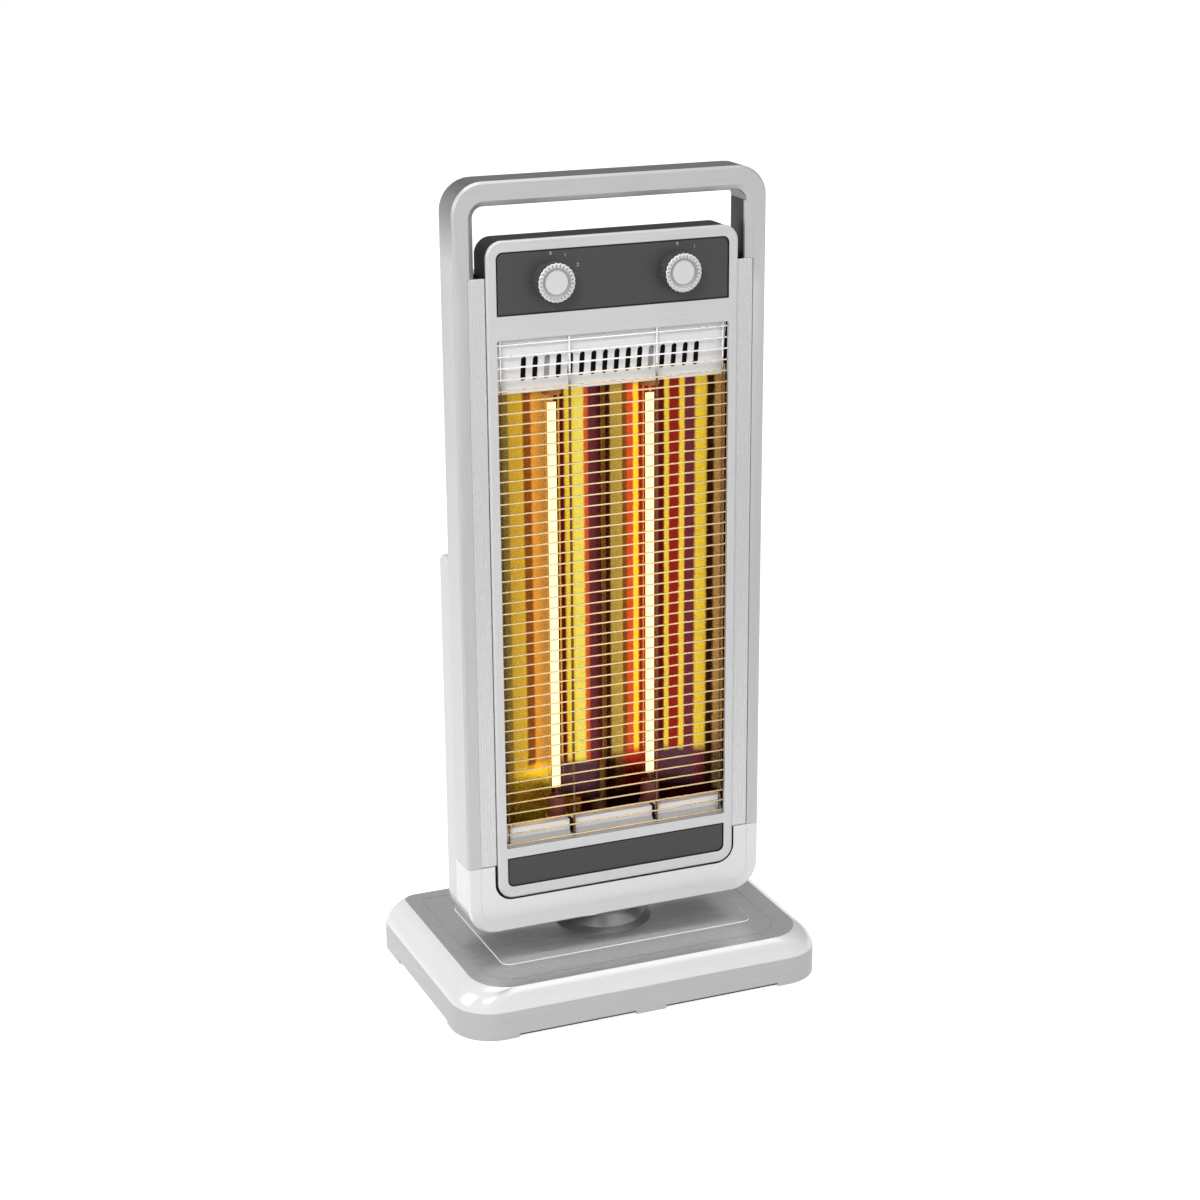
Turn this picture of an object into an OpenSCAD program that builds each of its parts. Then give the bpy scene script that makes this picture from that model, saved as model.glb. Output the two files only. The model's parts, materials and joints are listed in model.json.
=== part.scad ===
// Carbon heater: a tall body with two carbon lamps, a wire guard and a carry
// handle, that turns to and fro on a weighted base.
// Millimetres. The origin is on the floor, on the axis that the body turns about.
// +X is to the right as seen from the front, +Y to the back, +Z up.

/* [Base] */
// Width of the base
base_w = 367; // [340:1:400]
// Depth of the base
base_d = 244; // [230:1:270]
// Corner radius of the base seen from above
base_r = 40; // [34:1:48]
// Height of the upright skirt
skirt_h = 28; // [24:0.5:32]
// Height of the deck above the floor
deck_z = 50.5; // [48:0.5:56]
// Width of the shoulder at the sides, seen from above
deck_side = 19.5; // [16:0.5:26]
// Width of the shoulder at the front and back, seen from above
deck_end = 5.5; // [4:0.5:11]
// Corner radius of the deck
deck_r = 34; // [30:1:38]
// Wall of the base cover
base_wall = 2.5; // [2:0.1:3]
// Depth of the dished middle of the deck
dish_h = 1.2; // [0.8:0.1:1.6]
// Width of the dished middle
dish_w = 255; // [230:1:270]
// Depth of the dished middle from front to back
dish_d = 145; // [130:1:160]
// Height of the gap under the skirt between its feet
foot_gap = 3.6; // [2.5:0.1:4]
// Width of the skirt's middle foot
mid_foot_w = 30; // [20:1:40]
// Width of the skirt's corner feet
corner_foot_w = 24; // [18:1:30]
// Thickness of the bottom plate
plate_t = 2.5; // [2:0.1:3]
// Diameter of a rubber foot
rubber_d = 24; // [16:1:30]
// Diameter of the bore in the cord gland
gland_bore = 8; // [6:0.5:9]

/* [Swivel] */
// Diameter of the turntable disc
table_d = 96; // [92:1:104]
// Diameter of the hub that turns in the base
hub_d = 44; // [42:1:48]
// Bore of the hub, for the wires
hub_bore = 30; // [26:1:34]
// Distance from the swivel axis to the motor shaft
crank_offset = 24; // [23.5:0.1:25]
// Throw of the crank pin
crank_throw = 13.8; // [13.5:0.1:14]
// Diameter of the crank pin
pin_d = 4; // [3.5:0.1:4.5]
// Width of the slot that the pin runs in
slot_w = 10; // [9.6:0.1:11]
// Diameter of the motor
motor_d = 50; // [46:1:52]

/* [Body] */
// Width of the body frame beside the bezel
frame_side = 28.9; // [26:0.1:34]
// Height of the handle's top above the floor
frame_top = 767; // [750:1:800]
// Depth of the frame
frame_d = 34; // [32:0.5:38]
// Distance of the frame's front ahead of the swivel axis
frame_front = 39.4; // [38:0.1:41]
// Gap between the deck and the underside of the body
body_lift = 17.5; // [16:0.5:20]
// Outer corner radius of the frame
frame_r = 28; // [24:0.5:32]
// Width of a column
column_w = 19.5; // [18.5:0.1:20.5]
// Height of the handle bar
handle_h = 21.5; // [19:0.5:25]
// Width of the bevel round the inside of the handle
bevel_w = 5; // [4:0.1:6]
// Width of the band outside the groove of each column
band_w = 12.5; // [12:0.1:13]
// Height of the lower cover
cover_h = 68; // [60:1:76]
// Wall of the moulded covers
shell_wall = 2.5; // [2:0.1:3]
// Distance of the rear housing's back behind the swivel axis
housing_back = 27; // [24:0.5:34]
// Height of the rear housing
housing_h = 356; // [330:1:380]
// Distance of the upper rear cover's back behind the swivel axis
rear_back = 16; // [15:0.5:20]

/* [Panel] */
// Width of the front bezel
panel_w = 239.2; // [236:0.1:242]
// Finger gap between the bezel and the handle
finger_gap = 29.5; // [26:0.5:40]
// Height of the bezel's lower edge above the underside of the body
panel_rise = 34.7; // [30:0.1:40]
// Corner radius of the bezel
panel_r = 15; // [12:0.5:18]
// Amount the bezel stands in front of the frame
panel_proud = 2.6; // [2:0.1:3.4]
// Thickness of the bezel
bezel_t = 3.4; // [3:0.1:4]
// Width of the bezel beside the grille window
window_side = 8.7; // [8:0.1:12]
// Distance from the bezel's top to the window
window_drop = 86.7; // [84:0.1:95]
// Distance from the bezel's lower edge to the window
window_rise = 49.6; // [47:0.1:56]
// Width of the bezel beside the control fascia
fascia_side = 9.1; // [8:0.1:14]
// Height of the control fascia
fascia_h = 55.4; // [50:0.1:60]
// Margin above the fascia
fascia_drop = 10; // [8:0.1:12]
// Height of the badge plate
badge_h = 28.5; // [24:0.1:31]
// Margin below the badge plate
badge_rise = 11.3; // [9:0.1:12]
// Rounded corners of the fascia and the badge plate
inlay_r = 6; // [4:0.5:8]

/* [Knobs] */
// Diameter of a knob
knob_d = 35; // [32:0.5:38]
// Distance that a knob stands out
knob_h = 15; // [12:0.5:18]
// Distance between the knobs
knob_spacing = 120; // [110:1:130]
// Distance from the bezel's top to the knobs
knob_drop = 37; // [35:0.5:39]
// Number of flutes round a knob
flutes = 24; // [18:1:30]
// Diameter of a knob shaft
shaft_d = 6; // [5:0.5:7]

/* [Lamps] */
// Distance between the lamps
lamp_spacing = 96; // [90:1:100]
// Distance of the lamps ahead of the swivel axis
lamp_front = 8; // [7:0.5:11]
// Diameter of a quartz tube
tube_d = 14; // [12:0.5:15]
// Wall of a quartz tube
tube_wall = 1.2; // [1:0.1:1.5]
// Width of a carbon strip
carbon_w = 8; // [6:0.5:9]
// Thickness of a carbon strip
carbon_t = 1.2; // [0.8:0.1:1.6]
// Diameter of a ceramic end cap
cap_d = 18; // [17.5:0.5:20]
// Length of a ceramic end cap
cap_l = 26; // [22:1:30]

/* [Guard] */
// Diameter of a guard wire
wire_d = 1.6; // [1.4:0.1:2]
// Distance between guard wires
wire_pitch = 10.2; // [9.5:0.1:14]
// Diameter of the two upright rods
rod_d = 2.4; // [2:0.1:3]
// Distance between the two upright rods
rod_spacing = 84; // [70:1:96]
// Height of the sloping vent plate
vent_h = 44; // [40:1:50]
// Number of slots in the vent plate
vent_slots = 16; // [10:1:18]
// Distance between the vent slots
vent_pitch = 11.1; // [9:0.1:11.5]
// Width of a vent slot
vent_slot_w = 5; // [3:0.1:6]
// Height of a vent slot
vent_slot_h = 22.5; // [16:0.5:26]

/* [Hidden] */
$fn = 48;
corner_fn = 32;
wire_fn = 8;

// Overrun of every cut past the face that it opens
over = 1;
// Thin slice that a rounded form is drawn over
skin = 0.05;
// Gap between pieces that move past each other
run_gap = 0.3;
// Gap between pieces that are fixed side by side
seam = 0.2;
// Radial clearance of a shaft in its bore
shaft_clear = 0.05;
// Wall of sheet metal pieces
sheet_t = 1;

// Gap round a large moulding or sheet
fit_gap = 0.4;
// Gap round one that slides in from the front
slip_gap = 0.6;
// Gap that keeps two faces from touching
touch_gap = 0.1;

// Base
deck_w = base_w - 2 * deck_side;
deck_d = base_d - 2 * deck_end;
foot_z = 0.8;
plate_z = 4;
plate_top = plate_z + plate_t;
dish_z = deck_z - dish_h;
shoulder_shares = [[0.32, 0.15], [0.6, 0.36], [0.83, 0.65]];
dish_r = 8;
line_w = 0.8;
line_h = 0.6;
line_inset = 14.5;
boss_r = 5;
pilot_r = 1.6;
boss_side = 36;
boss_end = 34;
boss_mid_end = 16;
boss_x = base_w / 2 - boss_side;
boss_y = base_d / 2 - boss_end;
boss_mid_y = base_d / 2 - boss_mid_end;
boss_places = [[-boss_x, -boss_y], [boss_x, -boss_y], [-boss_x, boss_y], [boss_x, boss_y],
               [0, -boss_mid_y], [0, boss_mid_y]];
foot_side = 36;
foot_end = 58;
foot_x = base_w / 2 - foot_side;
foot_y = base_d / 2 - foot_end;
foot_chamfer = 1;
foot_nub_r = 4;
gland_x = 110;
gland_z = 16;
gland_wall = 2.6;
gland_flange_w = 3;
gland_r = gland_bore / 2 + gland_wall;
gland_flange_r = gland_r + gland_flange_w;
gland_flange_t = 2.4;
ballast_w = 96;
ballast_d = 70;
ballast_h = 14;
ballast_r = 6;
ballast_x = 96;
ballast_y = -38;

// Screws: shank radius, head radius and head height
screw_r = 1.5;
screw_head_r = 3.2;
screw_head_h = 2;
screw_clear_r = screw_r + run_gap;

// Swivel, from the bottom of the crank to the top of the disc
ring_edge = 5;
ring_w = 11;
ring_out_r = table_d / 2 - ring_edge;
ring_in_r = ring_out_r - ring_w;
ring_groove = 1;
ring_t = 2;
table_bottom = dish_z - ring_groove + ring_t + run_gap;
table_edge_h = 2.6;
table_t = 4;
neck_r = 34;
neck_edge_r = 42;
body_z = deck_z + body_lift;
hub_r = hub_d / 2;
collar_r = hub_r + run_gap;
collar_wall = 5;
arm_t = 4;
arm_drop = 7.6;
arm_wall = 5;
arm_top = dish_z - base_wall - arm_drop;
arm_z = arm_top - arm_t;
arm_disc_edge = 1.5;
arm_disc_r = collar_r + collar_wall + arm_disc_edge;
slot_play = 1.4;
slot_reach = crank_throw + pin_d / 2 + slot_play;
arm_tip = crank_offset + slot_reach + arm_wall;
arm_w = slot_w + 2 * arm_wall;
arm_screw_pcd = (hub_bore / 2 + hub_r) / 2;
arm_screw_angles = [30, 150, 270];
arm_screw_l = 8;
table_screw_in = 11.5;
table_screw_r = neck_r - table_screw_in;
table_screw_l = 8;
wire_hole_r = 6;
wire_hole_shift = 2;
crank_t = 4;
crank_air = 1.3;
crank_wall = 2;
crank_z = arm_z - crank_t - crank_air;
crank_r = crank_throw + pin_d / 2 + crank_wall;
motor_shaft_r = 3.5;
motor_nose_r = 7;
motor_shift = 10;
motor_air = 1.5;
motor_z = plate_top + motor_air;
motor_nose_top = crank_z - run_gap;
motor_nose_h = 5;
motor_top = motor_nose_top - motor_nose_h;
motor_ear_reach = 7;
motor_screw_grip = 6;
motor_ear_x = motor_d / 2 + motor_ear_reach;
motor_ear_t = 1.6;
motor_ear_r = 5;
motor_shaft_depth = 8;

// Switch that cuts the heater off when it tips over
tip_x = -60;
tip_y = 50;
tip_w = 28;
tip_d = 16;
tip_h = 20;
tip_floor = 2;
plunger_r = 5;
plunger_stem_r = 3;
plunger_head_r = 5.5;
plunger_travel = 5;
plunger_head_h = 2;

// Frame
frame_w = panel_w + 2 * frame_side;
frame_half = frame_w / 2;
front_y = -frame_front;
back_y = front_y + frame_d;
gap_half = frame_half - column_w;
gap_top = frame_top - handle_h;
gap_r = 10;
edge_w = 2;
edge_d = 2.5;
bevel_d = 4;
groove_half = frame_half - band_w;
seam_z = body_z + cover_h;
strip_drop = 61.5;
strip_top = gap_top - strip_drop;
strip_sink = 0.8;
strip_t = 3;
grip_shift = 3.4;
grip_half = frame_half - frame_r * (1 - cos(45));
column_pilot_shift = 1;
column_pilot_x = frame_half - column_w / 2 - column_pilot_shift;
column_pilot_end = 14;
column_pilot_depth = 12;
outline_r = 14;
outline_w = 0.8;
outline_d = 0.6;

// Bezel and what it holds
window_w = panel_w - 2 * window_side;
fascia_w = panel_w - 2 * fascia_side;
badge_side = 0.7;
panel_half = panel_w / 2;
panel_top = gap_top - finger_gap;
panel_z = body_z + panel_rise;
bezel_y = front_y - panel_proud;
bezel_back = bezel_y + bezel_t;
bezel_edge = 1.2;
window_half = window_w / 2;
window_top = panel_top - window_drop;
window_z = panel_z + window_rise;
window_r = 2;
inlay_sink = 0.6;
inlay_t = 1.6;
fascia_top = panel_top - fascia_drop;
fascia_z = fascia_top - fascia_h;
badge_z = panel_z + badge_rise;
badge_half = window_half - badge_side;
notch_gap = 2.5;

// Control housing behind the fascia
control_back = -10;
control_foot = 11;
control_z = fascia_z - control_foot;
control_screw_side = 29.6;
control_screw_rise = 20;
control_screw_x = panel_half - control_screw_side;
control_screw_z = control_z + control_screw_rise;
knob_x = knob_spacing / 2;
knob_z = panel_top - knob_drop;
shaft_r = shaft_d / 2;
knob_back = bezel_y + inlay_sink - run_gap;
knob_front = knob_back - knob_h;
knob_hub_wall = 3;
knob_hub_r = shaft_r + knob_hub_wall;
knob_shell = 2.4;
knob_skirt = 3.4;
knob_rim = 1.6;
flute_r = 0.9;
knob_dish = 1;
knob_ring_w = 4.2;
knob_disc_r = knob_d / 2 - knob_ring_w;
disc_t = 1.4;
shaft_end_gap = 1;
shaft_front = knob_front + knob_dish + disc_t + shaft_end_gap;
bushing_r = 4.6;
switch_w = 28;
switch_h = 30;
switch_d = 16;
switch_front = bezel_back + touch_gap;
shaft_depth = 12;

// Chassis: the sheet metal box that holds the lamps and the reflector
chassis_side = 3.2;
chassis_foot = 4;
chassis_head = 4.6;
chassis_half = window_half + chassis_side;
chassis_z = window_z - chassis_foot;
chassis_top = window_top + chassis_head;
chassis_front = bezel_back + seam;
chassis_back = rear_back - shell_wall - slip_gap;
bracket_t = 2;
bracket_in = 11;
bracket_y = front_y + bracket_in;
bracket_d = 16;
bracket_rows_shares = [0.12, 0.5, 0.9];

// Plane of the guard wires and the line of its two rods behind them
wire_r = wire_d / 2;
rod_r = rod_d / 2;
weld = 0.3;
guard_y = bezel_back - wire_r - touch_gap;
rod_line_y = guard_y + wire_r + rod_r - weld;

// Lower ledge and vent plate
ledge_lip = 4;
ledge_rise = 19;
ledge_slope_d = 22;
ledge_foot = 1;
ledge_z = window_z + ledge_foot;
ledge_top = ledge_z + ledge_rise;
vent_top = window_top - slip_gap;
vent_lean = 9;
vent_front = rod_line_y + rod_r + seam;
vent_z = vent_top - vent_h;

// Lamps and reflector
lamp_x = lamp_spacing / 2;
lamp_y = -lamp_front;
tube_r = tube_d / 2;
cap_r = cap_d / 2;
cap_sink = 10;
cap_foot = 14;
cap_head = 12;
carbon_lead = 8;
cap_z = ledge_top - cap_foot;
cap_top = vent_z + cap_head;
tube_z = cap_z + cap_l - cap_sink;
tube_top = cap_top - cap_l + cap_sink;
carbon_z = cap_z + cap_l + carbon_lead;
carbon_top = cap_top - cap_l - carbon_lead;
stem_r = 1.2;
pip_r = 2;
pip_l = 3;
pip_share = 0.53;
clip_wall = 1.2;
clip_h = 6;
trough_points = 8;
reflector_t = 0.8;
reflector_edge_in = 6;
ridge_out = 1;
reflector_head = 4;
reflector_edge_y = chassis_front + reflector_edge_in;
trough_y = chassis_back - sheet_t - reflector_t - fit_gap;
ridge_y = lamp_y - ridge_out;
reflector_half = chassis_half - sheet_t - seam;
reflector_z = ledge_top + fit_gap;
reflector_top = vent_z + reflector_head;

// Guard
wire_end_gap = 0.5;
wire_margin = 3.2;
edge_rod_in = 4;
wire_half = window_half - wire_end_gap;
wire_bottom = window_z + wire_margin;
wire_count = floor((window_top - wire_margin - wire_bottom) / wire_pitch) + 1;
edge_rod_x = window_half - edge_rod_in;

// Rear
housing_in = 1.5;
housing_half = frame_half - housing_in;
housing_top = body_z + housing_h;
column_pilot_zs = [seam_z + column_pilot_end, housing_top - column_pilot_end];
housing_r = 5;
housing_foot_r = frame_r - housing_in;
round_d = 5;
round_shares = [0.3, 0.7];
rear_half = gap_half - slip_gap;
rear_z = housing_top + fit_gap;
rear_top = strip_top - fit_gap;
rear_front = control_back + seam;
rear_r = 8;
louvre_w = 60;
louvre_h = 4;
louvre_pitch = 12;
louvre_rows = 7;
upper_rows = 9;
louvre_x = 38;
louvre_foot = 60;
upper_louvre_foot = 70;
boss_wall_r = 4.6;
cover_screw_l = 14;
screw_sink = 4;
screw_short = 2;
boss_short = 1;

// Small parts inside
cutout_r = 8;
cutout_h = 6;
cutout_x = 60;
cutout_foot = 60;
cutout_z = chassis_z + cutout_foot;
block_w = 46;
block_d = 14;
block_h = 20;
block_foot = 30;
block_z = body_z + shell_wall + block_foot;
block_way_r = 2.4;
block_ways = 4;

// Rounded rectangle seen from above, centred on the origin
module plan(w, d, r) {
    square([w - 2 * r, d], center = true);
    square([w, d - 2 * r], center = true);
    for (x = [-1, 1], y = [-1, 1])
        translate([x * (w / 2 - r), y * (d / 2 - r)]) circle(r);
}

// Upright outline, centred on x = 0, with its own radius at the top and the foot
module upright(half, low, high, r_top, r_low) {
    middle = (low + high) / 2;
    translate([-half, low + r_low]) square([2 * half, high - low - r_top - r_low]);
    translate([-half + r_top, middle]) square([2 * (half - r_top), high - middle]);
    translate([-half + r_low, low]) square([2 * (half - r_low), middle - low]);
    for (s = [-1, 1]) {
        if (r_top > 0) translate([s * (half - r_top), high - r_top]) circle(r_top);
        if (r_low > 0) translate([s * (half - r_low), low + r_low]) circle(r_low);
    }
}

// Stands an outline up between two planes, from the front plane to the back one
module slab(front, back) {
    translate([0, back, 0]) rotate([90, 0, 0]) linear_extrude(back - front) children();
}

// Block between two corners
module block(low, high) {
    translate(low) cube(high - low);
}

// Upright cylinder between two heights
module post(r, low, high) {
    translate([0, 0, low]) cylinder(r = r, h = high - low);
}

// Cylinder along Y between two planes
module rod_y(r, front, back) {
    translate([0, back, 0]) rotate([90, 0, 0]) cylinder(r = r, h = back - front);
}

// Screw that points down, with the underside of its head at the origin
module screw_down(length) {
    translate([0, 0, -length]) cylinder(r = screw_r, h = length + over / 2);
    cylinder(r = screw_head_r, h = screw_head_h);
}

// The base's form, drawn in by a wall all round and by a drop at the top
module base_form(wall, low, drop) {
    rise = deck_z - skirt_h;
    hull() {
        translate([0, 0, low]) linear_extrude(skirt_h - low)
            plan(base_w - 2 * wall, base_d - 2 * wall, base_r - wall, $fn = corner_fn);
        for (p = shoulder_shares)
            translate([0, 0, skirt_h + p[0] * rise - drop]) linear_extrude(skin)
                plan(base_w - 2 * wall - p[1] * 2 * deck_side, base_d - 2 * wall - p[1] * 2 * deck_end,
                     base_r - wall - p[1] * (base_r - deck_r), $fn = corner_fn);
        translate([0, 0, deck_z - drop - skin]) linear_extrude(skin)
            plan(deck_w - 2 * wall, deck_d - 2 * wall, deck_r - wall, $fn = corner_fn);
    }
}

// One side's gap under the skirt, between two places along it
module foot_gap_cut(from, to, half) {
    for (s = [-1, 1])
        block([min(s * from, s * to), -half - over, -over], [max(s * from, s * to), half + over, foot_gap]);
}

module base_cover() {
    color("gainsboro") difference() {
        union() {
            difference() {
                base_form(0, foot_z, 0);
                base_form(base_wall, -over, base_wall + dish_h);
            }
            post(collar_r + collar_wall, arm_top + run_gap, dish_z - base_wall / 2);
            for (p = boss_places) translate(p) post(boss_r, plate_top, dish_z - base_wall / 2);
        }
        translate([0, 0, dish_z]) linear_extrude(dish_h + over) plan(dish_w, dish_d, dish_r);
        translate([0, 0, deck_z - line_h]) linear_extrude(line_h + over) difference() {
            plan(deck_w - 2 * line_inset, deck_d - 2 * line_inset, deck_r - line_inset / 2);
            plan(deck_w - 2 * line_inset - 2 * line_w, deck_d - 2 * line_inset - 2 * line_w,
                 deck_r - line_inset / 2 - line_w);
        }
        translate([0, 0, dish_z - ring_groove]) linear_extrude(ring_groove + over) difference() {
            circle(ring_out_r + seam);
            circle(ring_in_r - seam);
        }
        post(collar_r, arm_z, deck_z + over);
        for (p = boss_places) translate(p) post(pilot_r, plate_top - over, dish_z - base_wall - over);
        foot_gap_cut(mid_foot_w / 2, base_w / 2 - corner_foot_w, base_d / 2);
        rotate(90) foot_gap_cut(0, base_d / 2 - corner_foot_w, base_w / 2);
        translate([gland_x, 0, gland_z])
            rod_y(gland_r + shaft_clear, base_d / 2 - 2 * base_wall, base_d / 2 + over);
    }
}

module base_plate() {
    gap = base_wall + seam;
    color("dimgray") difference() {
        union() {
            translate([0, 0, plate_z]) linear_extrude(plate_t)
                plan(base_w - 2 * gap, base_d - 2 * gap, base_r - gap);
            for (s = [-1, 1]) translate([s * motor_ear_x, crank_offset + motor_shift, 0])
                post(boss_r, plate_top - over / 2, motor_top - motor_ear_t);
        }
        for (p = boss_places) translate(p) {
            post(screw_clear_r, plate_z - over, plate_top + over);
            post(screw_head_r + seam, plate_z - over, plate_z + plate_t / 2);
        }
        for (x = [-foot_x, foot_x], y = [-foot_y, foot_y]) translate([x, y, 0])
            post(foot_nub_r + shaft_clear, plate_z - over, plate_top + over);
        for (s = [-1, 1]) translate([s * motor_ear_x, crank_offset + motor_shift, 0])
            post(screw_r + shaft_clear, plate_top + over, motor_top);
        translate([tip_x, tip_y, 0]) post(plunger_r + run_gap, plate_z - over, plate_top + over);
    }
}

module rubber_feet() {
    color("#202020") for (x = [-foot_x, foot_x], y = [-foot_y, foot_y]) translate([x, y, 0]) {
        cylinder(r1 = rubber_d / 2 - foot_chamfer, r2 = rubber_d / 2, h = plate_z / 2);
        post(rubber_d / 2, plate_z / 2, plate_z);
        post(foot_nub_r, plate_z - skin, plate_top);
    }
}

module base_ballast() {
    color("slategray") for (s = [-1, 1]) translate([s * ballast_x, ballast_y, plate_top])
        linear_extrude(ballast_h) plan(ballast_w, ballast_d, ballast_r);
}

module base_screws() {
    color("silver") for (p = boss_places)
        translate([p[0], p[1], plate_z + plate_t / 2]) mirror([0, 0, 1]) {
            translate([0, 0, -cover_screw_l]) cylinder(r = screw_r, h = cover_screw_l + skin);
            cylinder(r = screw_head_r, h = screw_head_h / 2);
        }
}

module cord_gland() {
    color("#252525") translate([gland_x, 0, gland_z]) difference() {
        union() {
            rod_y(gland_r, base_d / 2 - base_wall - seam, base_d / 2);
            rod_y(gland_flange_r, base_d / 2 - base_wall - seam - gland_flange_t,
                  base_d / 2 - base_wall - seam);
        }
        rod_y(gland_bore / 2, base_d / 2 - 3 * base_wall - gland_flange_t, base_d / 2 + over);
    }
}

module bearing_ring() {
    color("ivory") translate([0, 0, dish_z - ring_groove]) linear_extrude(ring_t) difference() {
        circle(ring_out_r);
        circle(ring_in_r);
    }
}

module swivel_motor() {
    color("silver") translate([0, crank_offset, 0]) difference() {
        union() {
            translate([0, motor_shift, 0]) {
                post(motor_d / 2, motor_z, motor_top);
                for (s = [-1, 1]) {
                    translate([s * motor_ear_x, 0, 0]) post(motor_ear_r, motor_top - motor_ear_t, motor_top);
                    block([min(0, s * motor_ear_x), -motor_ear_r, motor_top - motor_ear_t],
                          [max(0, s * motor_ear_x), motor_ear_r, motor_top]);
                }
            }
            post(motor_nose_r, motor_top - over / 2, motor_nose_top);
        }
        post(motor_shaft_r + shaft_clear, motor_nose_top - motor_shaft_depth, motor_nose_top + over);
        for (s = [-1, 1]) translate([s * motor_ear_x, motor_shift, 0])
            post(screw_clear_r, motor_top - motor_ear_t - over, motor_top + over);
    }
}

module motor_screws() {
    color("silver") for (s = [-1, 1])
        translate([s * motor_ear_x, crank_offset + motor_shift, motor_top])
            screw_down(motor_ear_t + motor_screw_grip);
}

module tip_switch() {
    low = plate_top;
    color("#303030") translate([tip_x, tip_y, 0]) difference() {
        block([-tip_w / 2, -tip_d / 2, low], [tip_w / 2, tip_d / 2, low + tip_h]);
        post(plunger_stem_r + shaft_clear, low - over, low + tip_h - tip_floor);
        post(plunger_head_r + run_gap, low + plunger_travel + run_gap, low + tip_h - tip_floor);
        post(plunger_r + run_gap, low - over, low + tip_floor);
    }
}

module motor_crank() {
    color("white") translate([0, crank_offset, 0]) {
        post(crank_r, crank_z, crank_z + crank_t);
        post(motor_shaft_r, motor_nose_top - motor_shaft_depth + run_gap, crank_z + skin);
        translate([0, crank_throw, 0]) post(pin_d / 2, crank_z + crank_t - skin, arm_top - run_gap);
    }
}

module tip_plunger() {
    low = plate_top;
    head_top = low + tip_h - tip_floor - run_gap;
    color("white") translate([tip_x, tip_y, 0]) {
        post(plunger_r, 0, low + tip_floor - run_gap);
        post(plunger_stem_r, low, head_top - plunger_head_h);
        post(plunger_head_r, head_top - plunger_head_h, head_top);
    }
}

module turntable() {
    color("darkgray") difference() {
        rotate_extrude() polygon([
            [hub_bore / 2, arm_top], [hub_r, arm_top], [hub_r, table_bottom],
            [table_d / 2, table_bottom], [table_d / 2, table_bottom + table_edge_h],
            [neck_edge_r, table_bottom + table_t], [neck_r, body_z - table_t], [neck_r, body_z],
            [hub_bore / 2, body_z]]);
        for (a = [45:90:315]) rotate(a) translate([table_screw_r, 0, 0])
            post(screw_r + shaft_clear, body_z - table_screw_l - over, body_z + over);
        for (a = arm_screw_angles) rotate(a) translate([arm_screw_pcd, 0, 0])
            post(screw_r + shaft_clear, arm_top - over, arm_top + arm_screw_l);
    }
}

module swing_arm() {
    color("lightgray") translate([0, 0, arm_z]) difference() {
        linear_extrude(arm_t) difference() {
            union() {
                circle(arm_disc_r);
                translate([-arm_w / 2, 0]) square([arm_w, arm_tip - arm_w / 2]);
                translate([0, arm_tip - arm_w / 2]) circle(arm_w / 2);
            }
            translate([-slot_w / 2, crank_offset - slot_reach + slot_w / 2])
                square([slot_w, 2 * slot_reach - slot_w]);
            for (s = [-1, 1])
                translate([0, crank_offset + s * (slot_reach - slot_w / 2)]) circle(slot_w / 2);
            translate([0, -wire_hole_r - wire_hole_shift]) circle(wire_hole_r);
            for (a = arm_screw_angles) rotate(a) translate([arm_screw_pcd, 0]) circle(screw_clear_r);
        }
        for (a = arm_screw_angles) rotate(a) translate([arm_screw_pcd, 0, 0])
            post(screw_head_r + seam, -over, screw_head_h);
    }
}

module arm_screws() {
    color("silver") for (a = arm_screw_angles) rotate(a) translate([arm_screw_pcd, 0, arm_z + screw_head_h])
        mirror([0, 0, 1]) screw_down(arm_screw_l);
}

module turntable_screws() {
    color("silver") for (a = [45:90:315]) rotate(a)
        translate([table_screw_r, 0, body_z + shell_wall]) screw_down(shell_wall + table_screw_l);
}

module lower_cover() {
    color("whitesmoke") difference() {
        hull() {
            slab(front_y, front_y + skin)
                upright(frame_half - edge_w, body_z + edge_w, seam_z - seam, 0, frame_r - edge_w,
                        $fn = corner_fn);
            slab(front_y + edge_d, back_y)
                upright(frame_half, body_z, seam_z - seam, 0, frame_r, $fn = corner_fn);
        }
        slab(front_y + shell_wall, back_y + over)
            upright(frame_half - shell_wall, body_z + shell_wall, seam_z + over, 0, frame_r - shell_wall);
        slab(front_y - over, front_y + shell_wall + over)
            upright(panel_half + notch_gap, panel_z - notch_gap, seam_z + over, 0, panel_r + notch_gap);
        slab(front_y - over, front_y + outline_d) difference() {
            upright(groove_half + outline_w / 2, body_z + band_w - outline_w / 2, seam_z + over, 0,
                    outline_r + outline_w / 2);
            upright(groove_half - outline_w / 2, body_z + band_w + outline_w / 2, seam_z + 2 * over, 0,
                    outline_r - outline_w / 2);
        }
        post(hub_bore / 2, body_z - over, body_z + shell_wall + over);
        for (a = [225, 315]) rotate(a) translate([table_screw_r, 0, 0])
            post(screw_clear_r, body_z - over, body_z + shell_wall + over);
    }
}

// The frame's loop with its rounded front edge and the bevel round its opening
module loop_form() {
    difference() {
        hull() {
            slab(front_y, front_y + skin)
                upright(frame_half - edge_w, seam_z, frame_top - edge_w, frame_r - edge_w, 0,
                        $fn = corner_fn);
            slab(front_y + edge_d, back_y)
                upright(frame_half, seam_z, frame_top, frame_r, 0, $fn = corner_fn);
        }
        hull() {
            slab(front_y - over, front_y + skin)
                upright(gap_half + bevel_w, seam_z - over, gap_top + bevel_w, gap_r + bevel_w, 0,
                        $fn = corner_fn);
            slab(front_y + bevel_d, front_y + bevel_d + skin)
                upright(gap_half, seam_z - over, gap_top, gap_r, 0, $fn = corner_fn);
        }
        slab(front_y - over, back_y + over) upright(gap_half, seam_z - over, gap_top, gap_r, 0);
    }
}

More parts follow.
